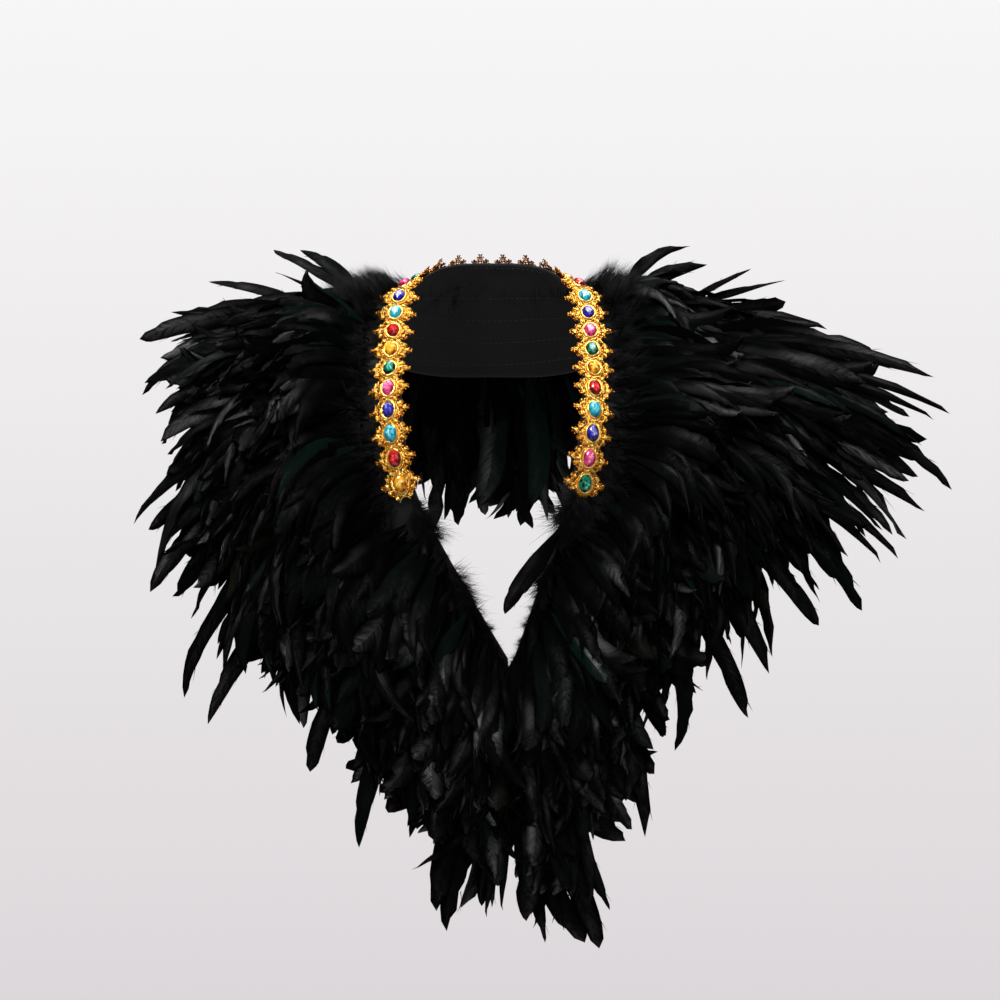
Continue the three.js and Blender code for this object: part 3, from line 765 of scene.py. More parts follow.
def makeLongFeathers():
    random = np.random.default_rng(longLay["seed"])
    count = len(longFeathers)
    x, z, halfWidth = np.array([feather[:3] for feather in longFeathers], float).T * mm
    rail = onRail(tipRail, fineAlong)
    inFront = rail[:, 1] < longLay["behind"] * mm
    gaps = np.hypot(rail[inFront, 0] - x[:, None], rail[inFront, 2] - z[:, None])
    along = fineAlong[inFront][np.argmin(gaps, 1)]
    share = [feather[4] if len(feather) > 4 else longLay["root"] for feather in longFeathers]
    root = reach(along)[4] * share
    place, normal = sheetAt(along, root)[0], sheetNormal(along, root)
    run = np.stack([x, onRail(tipRail, along)[:, 1], z], 1) - place
    length = np.linalg.norm(run, axis=1, keepdims=True)
    arch = (np.array([0, 0, 1]) - unit(run) * unit(run)[:, 2:]) * length * longLay["arch"]
    aim = unit(run + arch)
    twist = random.normal(0, longLay["twist"], count)
    face = turned(facing(place, normal * longLay["upward"], aim), aim, twist)
    size = np.stack([halfWidth, np.linalg.norm(run + arch, axis=1), halfWidth], 1)
    columns = dict(aim=aim, face=face, bend=-arch, size=size)
    kind = hangingKinds([feather[3] for feather in longFeathers], columns)
    tint = random.uniform(*longLay["tint"], count)
    gloss = random.uniform(*longLay["gloss"], count)
    places = place + normal * longLay["height"] * mm
    piece = sewFeathers("long_feathers", places, columns, kind, tint, gloss)
    seat(piece, "feather_black")


makeEdgeFeathers()
makeLongFeathers()
print("edge and long feathers sewn")


# Down

# A tuft of down is a spray of loose hair-thin barbs from one short quill, in shares of its length
tuft = {"kinds": 5, "hairs": 34, "thickness": 0.009, "quill": 0.4, "quillBias": 1.5, "fan": 1.0,
        "narrows": 0.5, "rise": (0.05, 0.35), "wander": 0.02, "hair": (0.4, 1.0)}
# Tufts beside the braid, with those on the shoulders standing up and those under its lobes flat; in mm
down = {"seed": 5, "count": 880, "line": 35, "pastBraid": 10, "roots": (20, 56), "rootBias": 1.5,
        "length": (16, 40), "lean": 0.4, "climb": (0.1, 0.5), "standAt": 0.155, "standWidth": 0.05,
        "standLength": 10, "standClimb": 0.5, "flatWithin": 35, "flat": 0.1, "flatHeight": 0.3,
        "twist": 0.6, "curl": (-0.1, 0.2), "sideCurl": 0.25}
# the soft collar of it that stands on top of the shoulders, behind the braid
collar = {"count": 460, "at": 0.158, "spread": 0.026, "roots": (26, 84), "length": (12, 20),
          "height": (22, 44)}
# and clumps along the front edges: side, distance below the braid and its spread, number of tufts,
# shortest and longest
edgeClumps = [(1, 14, 9, 60, 20, 44), (1, 92, 9, 34, 16, 32), (1, 80, 50, 50, 6, 14),
              (-1, 30, 10, 52, 20, 38), (-1, 112, 9, 34, 16, 32), (-1, 80, 50, 50, 6, 14),
              (1, 150, 24, 44, 7, 16), (-1, 150, 24, 44, 7, 16)]
clump = {"roots": (1, 9), "lean": (0.6, 2.1), "climb": (0, 0.3)}


# A thin three-sided hair from base to tip
def spike(points, faces, base, tip, thickness):
    way = tip - base
    side = np.cross(way, (0.3, 0.2, 1.0))
    side *= thickness / np.linalg.norm(side)
    lift = np.cross(side, way)
    lift *= thickness / np.linalg.norm(lift)
    start = len(points)
    points += [base + side, base - side / 2 + lift * 0.87, base - side / 2 - lift * 0.87, tip]
    sides = ((0, 1, 2), (0, 3, 1), (1, 3, 2), (2, 3, 0))
    faces += [tuple(start + corner for corner in corners) for corners in sides]


def tuftMesh(name, random):
    points, faces = [], []
    for index in range(tuft["hairs"]):
        along = tuft["quill"] * (index / tuft["hairs"]) ** tuft["quillBias"]
        angle = random.uniform(-tuft["fan"], tuft["fan"]) * (1 - tuft["narrows"] * along)
        way = np.array([np.sin(angle), np.cos(angle), random.normal(*tuft["rise"])])
        base = np.array([random.normal(0, tuft["wander"]), along, 0])
        tip = base + way * random.uniform(*tuft["hair"]) * (1 - along)
        spike(points, faces, base, tip, tuft["thickness"])
    along = [float(p[1]) for p in points]
    return makeMesh(name, points, faces, [(0.5, place) for place in along], along=along)


# Black down: fine loose barbs with no vane to shine, so a matt soft black that thins out to a haze
def blackDown():
    material, tree, shader = newMaterial("black_down")
    tint = addNode(tree, "ShaderNodeAttribute", attribute_name="tint").outputs["Fac"]
    colour = addNode(tree, "ShaderNodeValToRGB", {"Fac": tint}, ((0, "#040404"), (1, "#0D0E0E")))
    feed(tree, shader, {"Base Color": colour, "Roughness": 0.8, "Specular IOR Level": 0.15})
    return material


# Each group gives places along the sheet, and roots, lengths, leans and heights
def tuftsBesideBraid(random):
    along = spacedAlong(down["count"], down["line"] * mm, random)
    along = along[(along > besideV(1, down["pastBraid"])) & (along < besideV(-1, down["pastBraid"]))]
    count = len(along)
    standing = np.exp(-((np.abs(along - 0.5) - down["standAt"]) / down["standWidth"]) ** 2)
    nearest, furthest = down["roots"]
    root = nearest + (furthest - nearest) * random.uniform(0, 1, count) ** down["rootBias"]
    length = random.uniform(*down["length"], count) + down["standLength"] * standing
    lean = random.normal(0, down["lean"], count)
    climb = length * (random.uniform(*down["climb"], count) + down["standClimb"] * standing)
    climb[root < down["flatWithin"]] = 0
    return along, root, length, lean, climb


def tuftsOnShoulders(random):
    count = collar["count"]
    side = random.choice([-1, 1], count)
    length = random.uniform(*collar["length"], count)
    along = 0.5 - side * random.normal(collar["at"], collar["spread"], count)
    root = random.uniform(*collar["roots"], count)
    lean = random.normal(0, down["lean"], count)
    return along, root, length, lean, random.uniform(*collar["height"], count)


def tuftsInClump(random, side, distance, spread, count, shortest, longest):
    length = random.uniform(shortest, longest, count)
    along = besideV(side, random.normal(distance, spread, count))
    root = random.uniform(*clump["roots"], count)
    lean = -side * random.uniform(*clump["lean"], count)
    return along, root, length, lean, length * random.uniform(*clump["climb"], count)


def makeDown():
    random = np.random.default_rng(down["seed"])
    kinds = makeKinds("tuft", [tuftMesh(f"tuft{k}", random) for k in range(tuft["kinds"])])
    groups = [tuftsBesideBraid(random), tuftsOnShoulders(random)]
    groups += [tuftsInClump(random, *row) for row in edgeClumps]
    along, root, length, lean, climb = (np.concatenate(column) for column in zip(*groups))
    count = len(along)
    places, columns = layFeathers(random, along, root * mm, length * mm, climb * mm, length * mm, lean,
                                  down["twist"], down["curl"], down["sideCurl"])
    isFlat = (root < down["flatWithin"]) & (np.arange(count) < len(groups[0][0]))  # under the braid's lobes
    columns["size"][isFlat, 2] *= down["flat"]
    lowered = (rows["rootHeight"] - down["flatHeight"]) * mm
    places[isFlat] -= sheetNormal(along[isFlat], root[isFlat] * mm) * lowered
    kind = random.integers(0, tuft["kinds"], count)
    piece = makePoints("root_down", places, kind=kind, tint=random.uniform(0, 1, count), **columns)
    runTree(piece, sewOn, {"Kinds": kinds, "Bend": 1.0, "Finish": blackDown()})
    seat(piece, "feather_black")


makeDown()
print("down sewn")


# Cloth yoke

yoke = {"stations": 260, "places": 34, "thickness": 2, "hem": 7, "hemFold": 0.9, "hemSlope": 0.8,
        "ripple": 0.45, "rippleTurns": 150, "rippleSway": (2, 0.07), "rippleFrom": (8, 60), "uvLine": 60}
# stitches in mm, inset from the hem's fold, from the ends of a line and past a row's roots
stitch = {"pitch": 6, "length": 4, "width": 0.7, "fromFold": 2, "fromEnds": 8, "pastRoots": 4, "sunk": 0.1,
          "sides": 6, "half": 0.42, "narrow": 0.6}


def clothPoints(along, out, depth):
    return sheetAt(along, out)[0] - sheetNormal(along, out) * depth[:, None]


def insideDepth(along, out):  # the cloth's inner face, with its turned hems and slight waves
    width = reach(along)[3]
    fromEdge = np.minimum(out, width - out) / mm
    hem, slope = yoke["hem"], yoke["hemSlope"]
    fold = yoke["hemFold"] * (1 - smooth(hem - slope, hem + slope, fromEdge))
    sway, turns = yoke["rippleSway"]
    wave = yoke["ripple"] * np.sin(along * yoke["rippleTurns"] + sway * np.sin(out / mm * turns))
    return (yoke["thickness"] + fold + wave * smooth(*yoke["rippleFrom"], fromEdge)) * mm


# Black polyester twill: close dull threads in fine diagonal ribs, nearly no gloss
clothLook = {"ribPitch": 1.8, "threadPitch": 1.2, "ribTurn": 0.9}  # mm and radians, drawn coarse to show
waveUnit = 0.314  # distance between the bands of a wave texture with scale 1


def blackTwill():
    material, tree, shader = newMaterial("black_polyester_twill")
    uv = addNode(tree, "ShaderNodeUVMap", uv_map="UVMap")
    inMm = addNode(tree, "ShaderNodeVectorMath", {0: uv, "Scale": 1 / mm}, operation="SCALE")
    slanted = addNode(tree, "ShaderNodeMapping", {"Vector": inMm, "Rotation": (0, 0, clothLook["ribTurn"])})
    rib = addNode(tree, "ShaderNodeTexWave", {"Vector": slanted, "Scale": waveUnit / clothLook["ribPitch"],
                                              "Distortion": 0.6, "Detail": 1.0, "Detail Scale": 2.0})
    thread = addNode(tree, "ShaderNodeTexNoise", {"Vector": inMm, "Scale": 1 / clothLook["threadPitch"]})
    weave = addNode(tree, "ShaderNodeMath", {0: thread, 1: 0.5, 2: rib.outputs["Fac"]},
                    operation="MULTIPLY_ADD")
    bump = addNode(tree, "ShaderNodeBump", {"Height": weave, "Strength": 0.5, "Distance": 0.35 * mm})
    colour = addNode(tree, "ShaderNodeValToRGB", {"Fac": weave}, ((0, "#070708"), (1, "#151517")))
    feed(tree, shader, {"Base Color": colour, "Roughness": 0.75, "Specular IOR Level": 0.2, "Normal": bump,
                        "Sheen Weight": 0.08, "Sheen Roughness": 0.5, "Sheen Tint": linear("#8C8C92")})
    return material


def makeYoke():
    stations, places = yoke["stations"], yoke["places"]
    along, share = (grid.ravel() for grid in np.meshgrid(np.linspace(0, 1, stations),
                                                         np.linspace(0, 1, places), indexing="ij"))
    out = share * reach(along)[3]
    outer = clothPoints(along, out, np.zeros_like(along))
    inner = clothPoints(along, out, insideDepth(along, out))
    across = np.interp(along, fineAlong, lengthsAt(yoke["uvLine"] * mm))
    uvs = np.tile(np.stack([across, out], 1), (2, 1))
    top = np.arange(stations * places).reshape(stations, places)
    low = top + stations * places
    faces = []
    for i in range(stations - 1):
        for j in range(places - 1):
            faces.append((top[i, j], top[i, j + 1], top[i + 1, j + 1], top[i + 1, j]))
            faces.append((low[i, j], low[i + 1, j], low[i + 1, j + 1], low[i, j + 1]))
        faces.append((top[i, 0], top[i + 1, 0], low[i + 1, 0], low[i, 0]))
        faces.append((top[i, -1], low[i, -1], low[i + 1, -1], top[i + 1, -1]))
    for j in range(places - 1):
        faces.append((top[0, j], low[0, j], low[0, j + 1], top[0, j + 1]))
        faces.append((top[-1, j], top[-1, j + 1], low[-1, j + 1], low[-1, j]))
    piece = newObject("yoke_cloth", makeMesh("yoke_cloth", np.vstack([outer, inner]), faces, uvs))
    piece.data.materials.append(blackTwill())
    seat(piece, "yoke_cloth", "yoke")
    return piece


def stitchMesh():  # a short six-sided thread, narrower at both ends
    sides, half, narrow = stitch["sides"], stitch["half"], stitch["narrow"]
    rings = ((-half, narrow), (0, 1), (half, narrow))
    points = [(grow * np.cos(a), y, grow * np.sin(a)) for y, grow in rings for a in around(sides)]
    faces = [(a, d, c, b) for a, b, c, d in ringFaces(len(rings), sides)]
    faces += [tuple(range(sides)), tuple(range(3 * sides - 1, 2 * sides - 1, -1))]
    return makeMesh("stitch", points, faces, [p[:2] for p in points], along=[0.0] * len(points))


def sewingThread():  # black polyester thread: tight twist with a faint shine
    material, tree, shader = newMaterial("black_sewing_thread")
    uv = addNode(tree, "ShaderNodeUVMap", uv_map="UVMap")
    twist = addNode(tree, "ShaderNodeTexWave", {"Vector": uv, "Scale": 2.0, "Distortion": 1.0})
    bump = addNode(tree, "ShaderNodeBump", {"Height": twist.outputs["Fac"], "Strength": 0.6,
                                            "Distance": 0.2 * mm})
    feed(tree, shader, {"Base Color": linear("#2C2C30"), "Roughness": 0.45, "Specular IOR Level": 0.3,
                        "Normal": bump})
    return material


# Lines of stitches inside the yoke: the hem at the neck, and where each row of feathers is sewn on
def makeStitches():
    alongs, outs = [], []
    lines = [yoke["hem"] - stitch["fromFold"]]
    firstLine = rows["firstRoot"] + stitch["pastRoots"]
    lines += [firstLine + row * rows["spacing"] for row in range(len(rows["count"]))]
    for line in lines:
        lengths = lengthsAt(line * mm)
        inset = stitch["fromEnds"] * mm
        places = np.arange(inset, lengths[-1] - inset, stitch["pitch"] * mm)
        alongs.append(np.interp(places, lengths, fineAlong))
        outs.append(np.full(len(places), line * mm))
    along, out = np.concatenate(alongs), np.concatenate(outs)
    count = len(along)
    places = clothPoints(along, out, insideDepth(along, out) + stitch["sunk"] * mm)
    step = 0.0005
    aim = unit(sheetAt(along + step, out)[0] - sheetAt(along - step, out)[0])
    size = np.array([stitch["width"] / 2, stitch["length"], stitch["width"] / 2]) * mm
    piece = makePoints("yoke_stitches", places, aim=aim, face=-sheetNormal(along, out),
                       size=np.tile(size, (count, 1)), bend=np.zeros((count, 3)), kind=np.zeros(count, int))
    runTree(piece, sewOn, {"Kinds": makeKinds("stitch", [stitchMesh()]), "Bend": 0.0,
                           "Finish": sewingThread()})
    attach(piece, "root")
    return piece


yokePiece = makeYoke()
stitches = makeStitches()
print("yoke cut and stitched")


# Gold braid

# One motif lies along x with its stone in the middle, y is across the braid and z off the cloth, in mm
braid = {"count": 30, "pitch": 26.5, "line": 12.5, "seed": 3, "wobble": 0.45, "wobbleScale": 260.0,
         "slant": 0.06, "spare": 20, "steps": 520, "stoneHalf": (9, 6.5), "cord": 0.68, "loopSides": 5,
         "loopSteps": 8, "loopTilt": 0.4, "tiltTurn": 2.4}
# loops of cord on both sides of the stone: along, across, radius, height. A lobe is three petals with a
# coil in each, small rings at its ends and picots in its notches.
braidLoops = [(5.6, 12.5, 2.2, 2.3), (0, 16.2, 2.5, 2.4), (5.6, 12.5, 0.9, 3.0), (0, 16.2, 1.1, 3.1),
              (0, 11.9, 1.7, 2.7), (2.9, 14.2, 1.2, 2.5), (0, 20.0, 1.3, 2.0), (8.5, 14.0, 1.1, 1.9),
              (9.6, 10.0, 1.6, 2.2), (13.25, 7.3, 2.1, 2.7), (13.25, 7.3, 0.9, 3.2)]
picots = {"places": [(3.4, 18.4), (6.6, 15.8), (1.7, 21.6)], "radius": 0.5, "height": 1.8, "steps": 5,
          "cord": 0.6, "sides": 4}
# two cords that cross between stones, one lower than the other
crossing = {"half": 4.8, "across": 6.0, "height": 3.0, "over": 0.9, "under": 0.3, "steps": 9}
# the woven ground under the cords, waisted between two stones
ground = {"half": 5.6, "swell": 4.2, "top": 1.5, "low": 0.7, "steps": 8}
# the setting: corners of its wall (past the stone's edge, height), and rings of cord round it as
# (past the edge, height, steps, waves, depth of the waves, cord, sides)
setting = {"wall": [(2.2, 1.2), (0.9, 4.3), (0.1, 4.3), (0.1, 1.2)], "wallSteps": 28,
           "rim": (0.8, 4.5, 30, 0, 0.0, 0.8, 6),
           "cords": [(2.6, 2.7, 32, 0, 0.0, 0.85, 6), (4.1, 2.3, 84, 21, 0.09, 0.7, 4)]}


def cordTube(path, radius, sides, isClosed=True):
    ahead = np.roll(path, -1, 0) - np.roll(path, 1, 0)
    if not isClosed:
        ahead[0], ahead[-1] = path[1] - path[0], path[-1] - path[-2]
    side = unit(np.cross(ahead, (0, 0, 1.0)))
    lift = unit(np.cross(side, ahead))
    turn = around(sides)[None, :, None]
    points = path[:, None] + radius * (np.cos(turn) * side[:, None] + np.sin(turn) * lift[:, None])
    gaps = np.linalg.norm(np.roll(path, -1, 0) - path, axis=1)
    length = np.concatenate([[0], np.cumsum(gaps)])
    faces = [(a, d, c, b) for a, b, c, d in ringFaces(len(path), sides, isClosed)]
    uvs = []
    for i in range(len(path) if isClosed else len(path) - 1):
        for k in range(sides):
            low, high = k / sides, (k + 1) / sides
            uvs += [(low, length[i]), (low, length[i + 1]), (high, length[i + 1]), (high, length[i])]
    if not isClosed:
        last = (len(path) - 1) * sides
        faces += [tuple(range(sides)), tuple(range(last + sides - 1, last - 1, -1))]
        uvs += [(0, 0)] * (2 * sides)
    return points.reshape(-1, 3), faces, uvs


def ovalPath(half, height, steps, waves=0, depth=0.0):
    turn = around(steps)
    grow = 1 + depth * np.cos(waves * turn)
    return np.stack([half[0] * grow * np.cos(turn), half[1] * grow * np.sin(turn),
                     height + depth * 4 * np.sin(waves * turn)], 1)


def roundStone(past, *rest):  # an oval at that distance past the stone's edge
    return ovalPath([half + past for half in braid["stoneHalf"]], *rest)


def wallMesh():  # the closed ring that the stone sits in
    rings = [roundStone(past, height, setting["wallSteps"]) for past, height in setting["wall"]]
    faces = ringFaces(len(rings), setting["wallSteps"], True)
    return np.concatenate(rings), faces, [(0, 0)] * (4 * len(faces))


def groundMesh():
    count = ground["steps"] + 1
    x = np.linspace(-braid["pitch"] / 2, braid["pitch"] / 2, count)
    half = ground["half"] + ground["swell"] * np.cos(np.pi * x / braid["pitch"]) ** 2
    edges = [(-1, ground["top"]), (1, ground["top"]), (1, ground["low"]), (-1, ground["low"])]
    points = np.concatenate([np.stack([x, sign * half, np.full_like(x, z)], 1) for sign, z in edges])
    line = np.arange(4 * count).reshape(4, count)
    faces = [(line[c, i], line[c, i + 1], line[c - 3, i + 1], line[c - 3, i])
             for c in range(4) for i in range(count - 1)]
    faces += [tuple(line[:, 0]), tuple(line[::-1, -1])]
    return points, faces, [(0, 0)] * (4 * len(faces))


def bothWays(along):  # off a motif's middle a part comes twice, and between two motifs once
    return (-along, along) if 0 < along < braid["pitch"] / 2 else (along,)


def motifMesh():
    *rim, rimCord, rimSides = setting["rim"]
    rimPoints, rimFaces, rimUvs = cordTube(roundStone(*rim), rimCord, rimSides)
    parts = [groundMesh(), wallMesh(), (rimPoints, rimFaces, [(0, 0)] * len(rimUvs))]  # the rim is smooth
    for *ring, cord, sides in setting["cords"]:
        parts.append(cordTube(roundStone(*ring), cord, sides))
    for side in (-1, 1):
        for row, across, radius, height in braidLoops:
            for along in bothWays(row):
                loop = ovalPath((radius, radius), height, braid["loopSteps"]) + (along, side * across, 0)
                tilt = np.sin(around(len(loop)) + braid["tiltTurn"] * along + across)
                loop[:, 2] += radius * braid["loopTilt"] * tilt
                parts.append(cordTube(loop, braid["cord"], braid["loopSides"]))
        for row, across in picots["places"]:
            for along in bothWays(row):
                knot = ovalPath((picots["radius"], picots["radius"]), picots["height"], picots["steps"])
                parts.append(cordTube(knot + (along, side * across, 0), picots["cord"], picots["sides"]))
        t = np.linspace(-1, 1, crossing["steps"])
        lift = crossing["over"] * (1 - t ** 2) * (1 if side > 0 else crossing["under"])
        cross = np.stack([braid["pitch"] / 2 + crossing["half"] * t,
                          side * crossing["across"] * np.sin(t * np.pi / 2), crossing["height"] + lift], 1)
        parts.append(cordTube(cross, braid["cord"], braid["loopSides"], False))
    points, faces, uvs = [], [], []
    for partPoints, partFaces, partUvs in parts:
        faces += [tuple(len(points) + corner for corner in face) for face in partFaces]
        points += list(partPoints * mm)
        uvs += partUvs
    return makeMesh("motif", points, faces, uvs, height=[float(p[2] / mm) for p in points])


# Metallised gold gimp: thin gold film wound round a core, so a bright deep yellow that breaks up in the
# twist. Its colour is painted darker brown low down between the cords, as painted shade, and paler on
# the raised cords, as painted highlight
# low and high are the heights over which the painted shade turns to painted highlight
goldLook = {"twistPitch": 1.6, "patch": 4, "low": 1.2, "high": 4.0}  # mm


def goldGimp():
    material, tree, shader = newMaterial("metallised_gold_gimp")
    uv = addNode(tree, "ShaderNodeUVMap", uv_map="UVMap")
    split = addNode(tree, "ShaderNodeSeparateXYZ", {"Vector": uv})
    turns = addNode(tree, "ShaderNodeMath", {0: split.outputs["Y"], 1: 1 / goldLook["twistPitch"],
                                             2: split.outputs["X"]}, operation="MULTIPLY_ADD")
    phase = addNode(tree, "ShaderNodeMath", {0: turns, 1: 2 * np.pi}, operation="MULTIPLY")
    twist = addNode(tree, "ShaderNodeMath", {0: phase}, operation="SINE")
    bump = addNode(tree, "ShaderNodeBump", {"Height": twist, "Strength": 0.7, "Distance": 0.25 * mm})
    place = addNode(tree, "ShaderNodeTexCoord").outputs["Object"]
    patch = addNode(tree, "ShaderNodeTexNoise", {"Vector": place, "Scale": 1 / (goldLook["patch"] * mm),
                                                 "Detail": 3})
    # painted shade and highlight: darker on the ground and low cords, paler on the raised cords and the rim
    height = addNode(tree, "ShaderNodeAttribute", attribute_name="height").outputs["Fac"]
    paintedLightByHeight = addNode(tree, "ShaderNodeMapRange", {
        "Value": height, "From Min": goldLook["low"], "From Max": goldLook["high"], "To Min": -0.34,
        "To Max": 0.36})
    tone = addNode(tree, "ShaderNodeMath", {0: patch, 1: paintedLightByHeight}, operation="ADD")
    colour = addNode(tree, "ShaderNodeValToRGB", {"Fac": tone},
                     ((0.2, "#6E3603"), (0.42, "#C67A12"), (0.62, "#E6A434"), (0.85, "#F8D274")))
    feed(tree, shader, {"Base Color": colour, "Metallic": 0.85, "Roughness": 0.22, "Normal": bump})
    return material


# Lays the motifs in a straight line, varies them a little, and bends the line along the neckline
def braidTree():
    tree, given = newTree("braid_along_neckline", {
        "Motif": "Object", "Neckline": "Object", "Count": "Int", "Pitch": "Float", "Start": "Float",
        "Wobble": "Float", "Seed": "Int", "Finish": "Material"})
    start = addNode(tree, "ShaderNodeCombineXYZ", {"X": given["Start"]})
    step = addNode(tree, "ShaderNodeCombineXYZ", {"X": given["Pitch"]})
    line = addNode(tree, "GeometryNodeMeshLine", {"Count": given["Count"], "Start Location": start,
                                                  "Offset": step})
    motif = addNode(tree, "GeometryNodeObjectInfo", {"Object": given["Motif"]}).outputs["Geometry"]
    slant = addNode(tree, "FunctionNodeRandomValue", {0: (0, 0, -braid["slant"]), 1: (0, 0, braid["slant"]),
                                                      "Seed": given["Seed"]}, data_type="FLOAT_VECTOR")
    turn = addNode(tree, "FunctionNodeEulerToRotation", {0: slant})
    placed = addNode(tree, "GeometryNodeInstanceOnPoints", {"Points": line, "Instance": motif,
                                                            "Rotation": turn})
    real = addNode(tree, "GeometryNodeRealizeInstances", {"Geometry": placed})
    place = addNode(tree, "GeometryNodeInputPosition")
    noise = addNode(tree, "ShaderNodeTexNoise", {"Vector": place, "Scale": braid["wobbleScale"],
                                                 "Detail": 0.0})
    centred = addNode(tree, "ShaderNodeVectorMath", {0: noise.outputs["Color"], 1: (0.5, 0.5, 0.5)},
                      operation="SUBTRACT")
    moved = addNode(tree, "ShaderNodeVectorMath", {0: centred, "Scale": given["Wobble"]}, operation="SCALE")
    varied = addNode(tree, "GeometryNodeSetPosition", {"Geometry": real, "Offset": moved})
    straight = addNode(tree, "ShaderNodeSeparateXYZ", {"Vector": place})
    neckline = addNode(tree, "GeometryNodeObjectInfo", {"Object": given["Neckline"]}).outputs["Geometry"]
    curve = addNode(tree, "GeometryNodeMeshToCurve", {"Mesh": neckline})
    squared = addNode(tree, "ShaderNodeMath", {0: straight.outputs["Y"], 1: straight.outputs["Y"]},
                      operation="MULTIPLY")
    amounts = {"across": straight.outputs["Y"], "bow": squared, "up": straight.outputs["Z"]}
    total = None
    for name, amount in amounts.items():
        carried = addNode(tree, "GeometryNodeInputNamedAttribute", {"Name": name}, data_type="FLOAT_VECTOR")
        found = addNode(tree, "GeometryNodeSampleCurve",
                        {"Curves": curve, "Length": straight.outputs["X"], "Value": carried},
                        data_type="FLOAT_VECTOR", mode="LENGTH")
        total = total or found.outputs["Position"]
        grown = addNode(tree, "ShaderNodeVectorMath", {0: found.outputs["Value"], "Scale": amount},
                        operation="SCALE")
        total = addNode(tree, "ShaderNodeVectorMath", {0: total, 1: grown}, operation="ADD")
    bent = addNode(tree, "GeometryNodeSetPosition", {"Geometry": varied, "Position": total})
    # along, across and up are left-handed here, which turns the motifs inside out
    outward = addNode(tree, "GeometryNodeFlipFaces", {"Mesh": bent})
    done = addNode(tree, "GeometryNodeSetMaterial", {"Geometry": outward, "Material": given["Finish"]})
    addNode(tree, "NodeGroupOutput", {"Geometry": done})
    return tree


def makeBraid():
    pitch, spare = braid["pitch"] * mm, braid["spare"] * mm
    half = braid["count"] * pitch / 2
    lengths = np.linspace(braidMiddle - half - spare, braidMiddle + half + spare, braid["steps"])
    along = np.interp(lengths, braidLengths, fineAlong)
    place, _, bow = sheetAt(along, braid["line"] * mm)
    up = sheetNormal(along, braid["line"] * mm)
    across = unit(np.cross(np.gradient(place, axis=0), up))  # square to the neckline, as the stones are
    mesh = bpy.data.meshes.new("neckline")
    mesh.from_pydata([tuple(p) for p in place], [(i, i + 1) for i in range(len(place) - 1)], [])
    addAttributes(mesh, {"across": across, "bow": bow, "up": up})
    helpers = bpy.data.collections.new("braid_helpers")
    neckline = newObject("neckline", mesh, helpers)
    motif = newObject("motif", motifMesh(), helpers)
    piece = newObject("braid_cords", bpy.data.meshes.new("braid_cords"))
    runTree(piece, braidTree(), {"Motif": motif, "Neckline": neckline, "Count": braid["count"],
                                 "Pitch": pitch, "Start": spare + pitch / 2, "Seed": braid["seed"],
                                 "Wobble": 2 * braid["wobble"] * mm, "Finish": goldGimp()})
    seat(piece, "gold_braid", "gold_braid")


makeBraid()
print("braid laid")


# Stones

# Oval stones with a girdle, two rings of crown facets and a table; sizes are shares of the solid's
stoneCut = {"girdle": 0.3, "shoulder": (0.84, 0.72), "table": 0.56, "sides": 10}
# deep, body and flash colours: body is the stone's own colour, deep is painted shade and flash a painted
# reflection in its facets
stoneColours = {"green": ("#001F17", "#046B52", "#8FE8D2"), "pink": ("#8E0B40", "#D83A80", "#FFD3E4"),
                "blue": ("#07043A", "#241C96", "#9C97EC"), "turquoise": ("#0A6F86", "#2CA9BE", "#C2F6FA"),
                "red": ("#4E0006", "#B80D15", "#FF6A5E"), "amber": ("#8A4300", "#E8A010", "#FFF6A0")}
# wedges round the stone and bands to its edge; the last two keep the numbers of facets and stones apart
foilLook = {"wedges": 14, "bands": 2.6, "bandNumbers": 37.0, "stoneNumbers": 500.0}


def stoneMesh():
    sides = stoneCut["sides"]
    ring = lambda turn, grow, z: [(0.5 * grow * np.cos(a), 0.5 * grow * np.sin(a), z) for a in turn]
    points = ring(around(2 * sides), 1, 0) + ring(around(2 * sides), 1, stoneCut["girdle"])
    points += ring(around(sides) + np.pi / sides, *stoneCut["shoulder"])
    points += ring(around(sides), stoneCut["table"], 1)
    top, shoulder, table = 2 * sides, 4 * sides, 5 * sides
    faces = [tuple(range(2 * sides - 1, -1, -1)), tuple(range(table, table + sides))]
    faces += ringFaces(2, 2 * sides)
    for k in range(sides):
        n = (k + 1) % sides
        faces.append((top + 2 * k, top + 2 * k + 1, shoulder + k))
        faces.append((top + 2 * k + 1, top + 2 * n, shoulder + k))
        faces.append((top + 2 * n, shoulder + n, shoulder + k))
        faces.append((shoulder + k, shoulder + n, table + n))
        faces.append((shoulder + k, table + n, table + k))
    uvs = [(2 * p[0], 2 * p[1]) for p in points]
    return makeMesh("stone", points, faces, uvs, False, along=[0.0] * len(points))
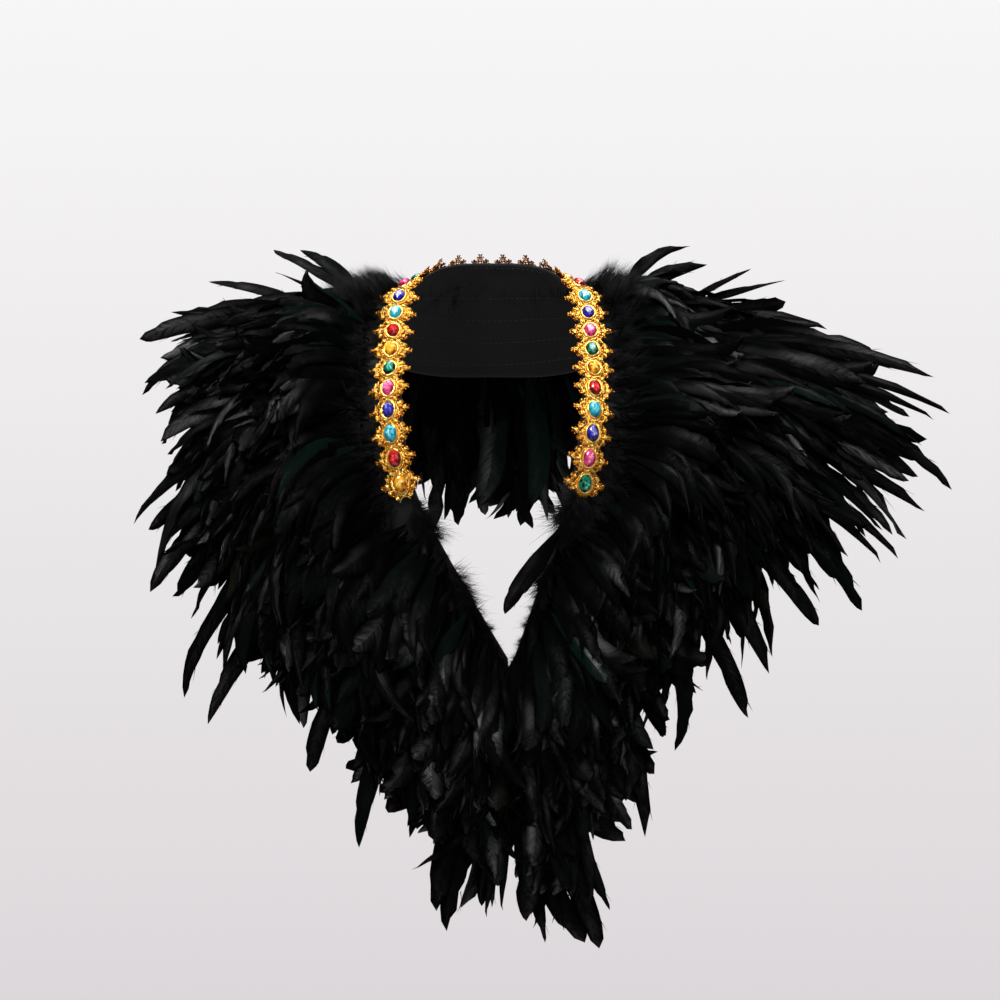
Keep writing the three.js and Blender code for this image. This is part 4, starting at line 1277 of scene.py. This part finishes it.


# Foil-backed acrylic: clear coloured resin over a mirror foil under a hard gloss. The foil's reflections are
# painted in as wedges of painted shade and pale painted flashes, brighter in the middle of the stone
def foiledAcrylic(name, deep, body, paintedFlash):
    material, tree, shader = newMaterial("foil_backed_acrylic_" + name)
    uv = addNode(tree, "ShaderNodeUVMap", uv_map="UVMap")
    split = addNode(tree, "ShaderNodeSeparateXYZ", {"Vector": uv})
    angle = addNode(tree, "ShaderNodeMath", {0: split.outputs["Y"], 1: split.outputs["X"]},
                    operation="ARCTAN2")
    wedge = addNode(tree, "ShaderNodeMath", {0: angle, 1: foilLook["wedges"] / (2 * np.pi)},
                    operation="MULTIPLY")
    wedgeStep = addNode(tree, "ShaderNodeMath", {0: wedge}, operation="FLOOR")
    radius = addNode(tree, "ShaderNodeVectorMath", {0: uv}, operation="LENGTH").outputs["Value"]
    band = addNode(tree, "ShaderNodeMath", {0: radius, 1: foilLook["bands"]}, operation="MULTIPLY")
    bandStep = addNode(tree, "ShaderNodeMath", {0: band}, operation="FLOOR")
    number = addNode(tree, "ShaderNodeMath", {0: bandStep, 1: foilLook["bandNumbers"], 2: wedgeStep},
                     operation="MULTIPLY_ADD")
    tint = addNode(tree, "ShaderNodeAttribute", attribute_name="tint").outputs["Fac"]
    own = addNode(tree, "ShaderNodeMath", {0: tint, 1: foilLook["stoneNumbers"], 2: number},
                  operation="MULTIPLY_ADD")
    # each facet gets a painted lightness of its own, which stands in for its reflection
    facet = addNode(tree, "ShaderNodeTexWhiteNoise", {"W": own}, noise_dimensions="1D").outputs["Value"]
    # painted highlight in the middle of the stone, painted shade towards its edge
    middle = addNode(tree, "ShaderNodeMapRange", {
        "Value": radius, "From Min": 0.2, "From Max": 0.95, "To Min": 0.2, "To Max": -0.16})
    bright = addNode(tree, "ShaderNodeMath", {0: facet, 1: 0.8, 2: middle}, operation="MULTIPLY_ADD")
    colour = addNode(tree, "ShaderNodeValToRGB", {"Fac": bright},
                     ((0.12, deep), (0.36, body), (0.66, body), (0.95, paintedFlash)))
    feed(tree, shader, {"Base Color": colour, "Roughness": 0.08, "IOR": 1.49, "Coat Weight": 0.1,
                        "Coat Roughness": 0.05})
    return material


def stoneFrame(node):  # middle of the flat back, directions and sizes of a stone's solid
    points = np.array([v.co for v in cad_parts[node].data.vertices])
    points = np.unique(points.round(6), axis=0)
    centre = points.mean(0)
    axes = np.linalg.svd(points - centre, full_matrices=False)[2]
    gaps = np.linalg.norm(sheetAt(fineAlong, braid["line"] * mm)[0] - centre, axis=1)
    nearest = fineAlong[[np.argmin(gaps)]]
    if axes[2] @ sheetNormal(nearest, braid["line"] * mm)[0] < 0:
        axes[2] *= -1
    spans = (points - centre) @ axes.T
    low, high = spans.min(0), spans.max(0)
    back = centre + axes[0] * (low + high)[0] / 2 + axes[1] * (low + high)[1] / 2 + axes[2] * low[2]
    return back, axes, high - low


def makeStones():
    random = np.random.default_rng(braid["seed"])
    kinds = makeKinds("cut_stone", [stoneMesh()])
    stones = sorted(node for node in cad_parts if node.startswith("stone_"))
    for colour, shades in stoneColours.items():
        nodes = [node for node in stones if node.endswith(colour)]
        count = len(nodes)
        backs, axes, spans = (np.array(column) for column in zip(*(stoneFrame(node) for node in nodes)))
        piece = makePoints(f"stones_{colour}", backs, aim=axes[:, 0], face=axes[:, 2],
                           size=spans[:, [1, 0, 2]], bend=np.zeros((count, 3)),
                           kind=np.zeros(count, int), tint=random.uniform(0, 1, count))
        runTree(piece, sewOn, {"Kinds": kinds, "Bend": 0.0, "Finish": foiledAcrylic(colour, *shades)})
        seat(piece, f"stone_{colour}", *nodes)


makeStones()
print("stones set")


# Front hook

hookLook = {"wear": 3}  # mm between worn spots


def lacqueredWire():  # black lacquer over bent brass wire: a smooth dark gloss, worn to brass in spots
    material, tree, shader = newMaterial("black_lacquered_brass")
    place = addNode(tree, "ShaderNodeTexCoord").outputs["Object"]
    wear = addNode(tree, "ShaderNodeTexNoise", {"Vector": place, "Scale": 1 / (hookLook["wear"] * mm),
                                                "Detail": 4})
    colour = addNode(tree, "ShaderNodeValToRGB", {"Fac": wear}, ((0.6, "#0A0A0B"), (0.75, "#5A4320")))
    feed(tree, shader, {"Base Color": colour, "Metallic": 0.6, "Roughness": 0.35})
    return material


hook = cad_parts["front_hook"]
hook.data.materials.clear()
hook.data.materials.append(lacqueredWire())
print("hook finished")
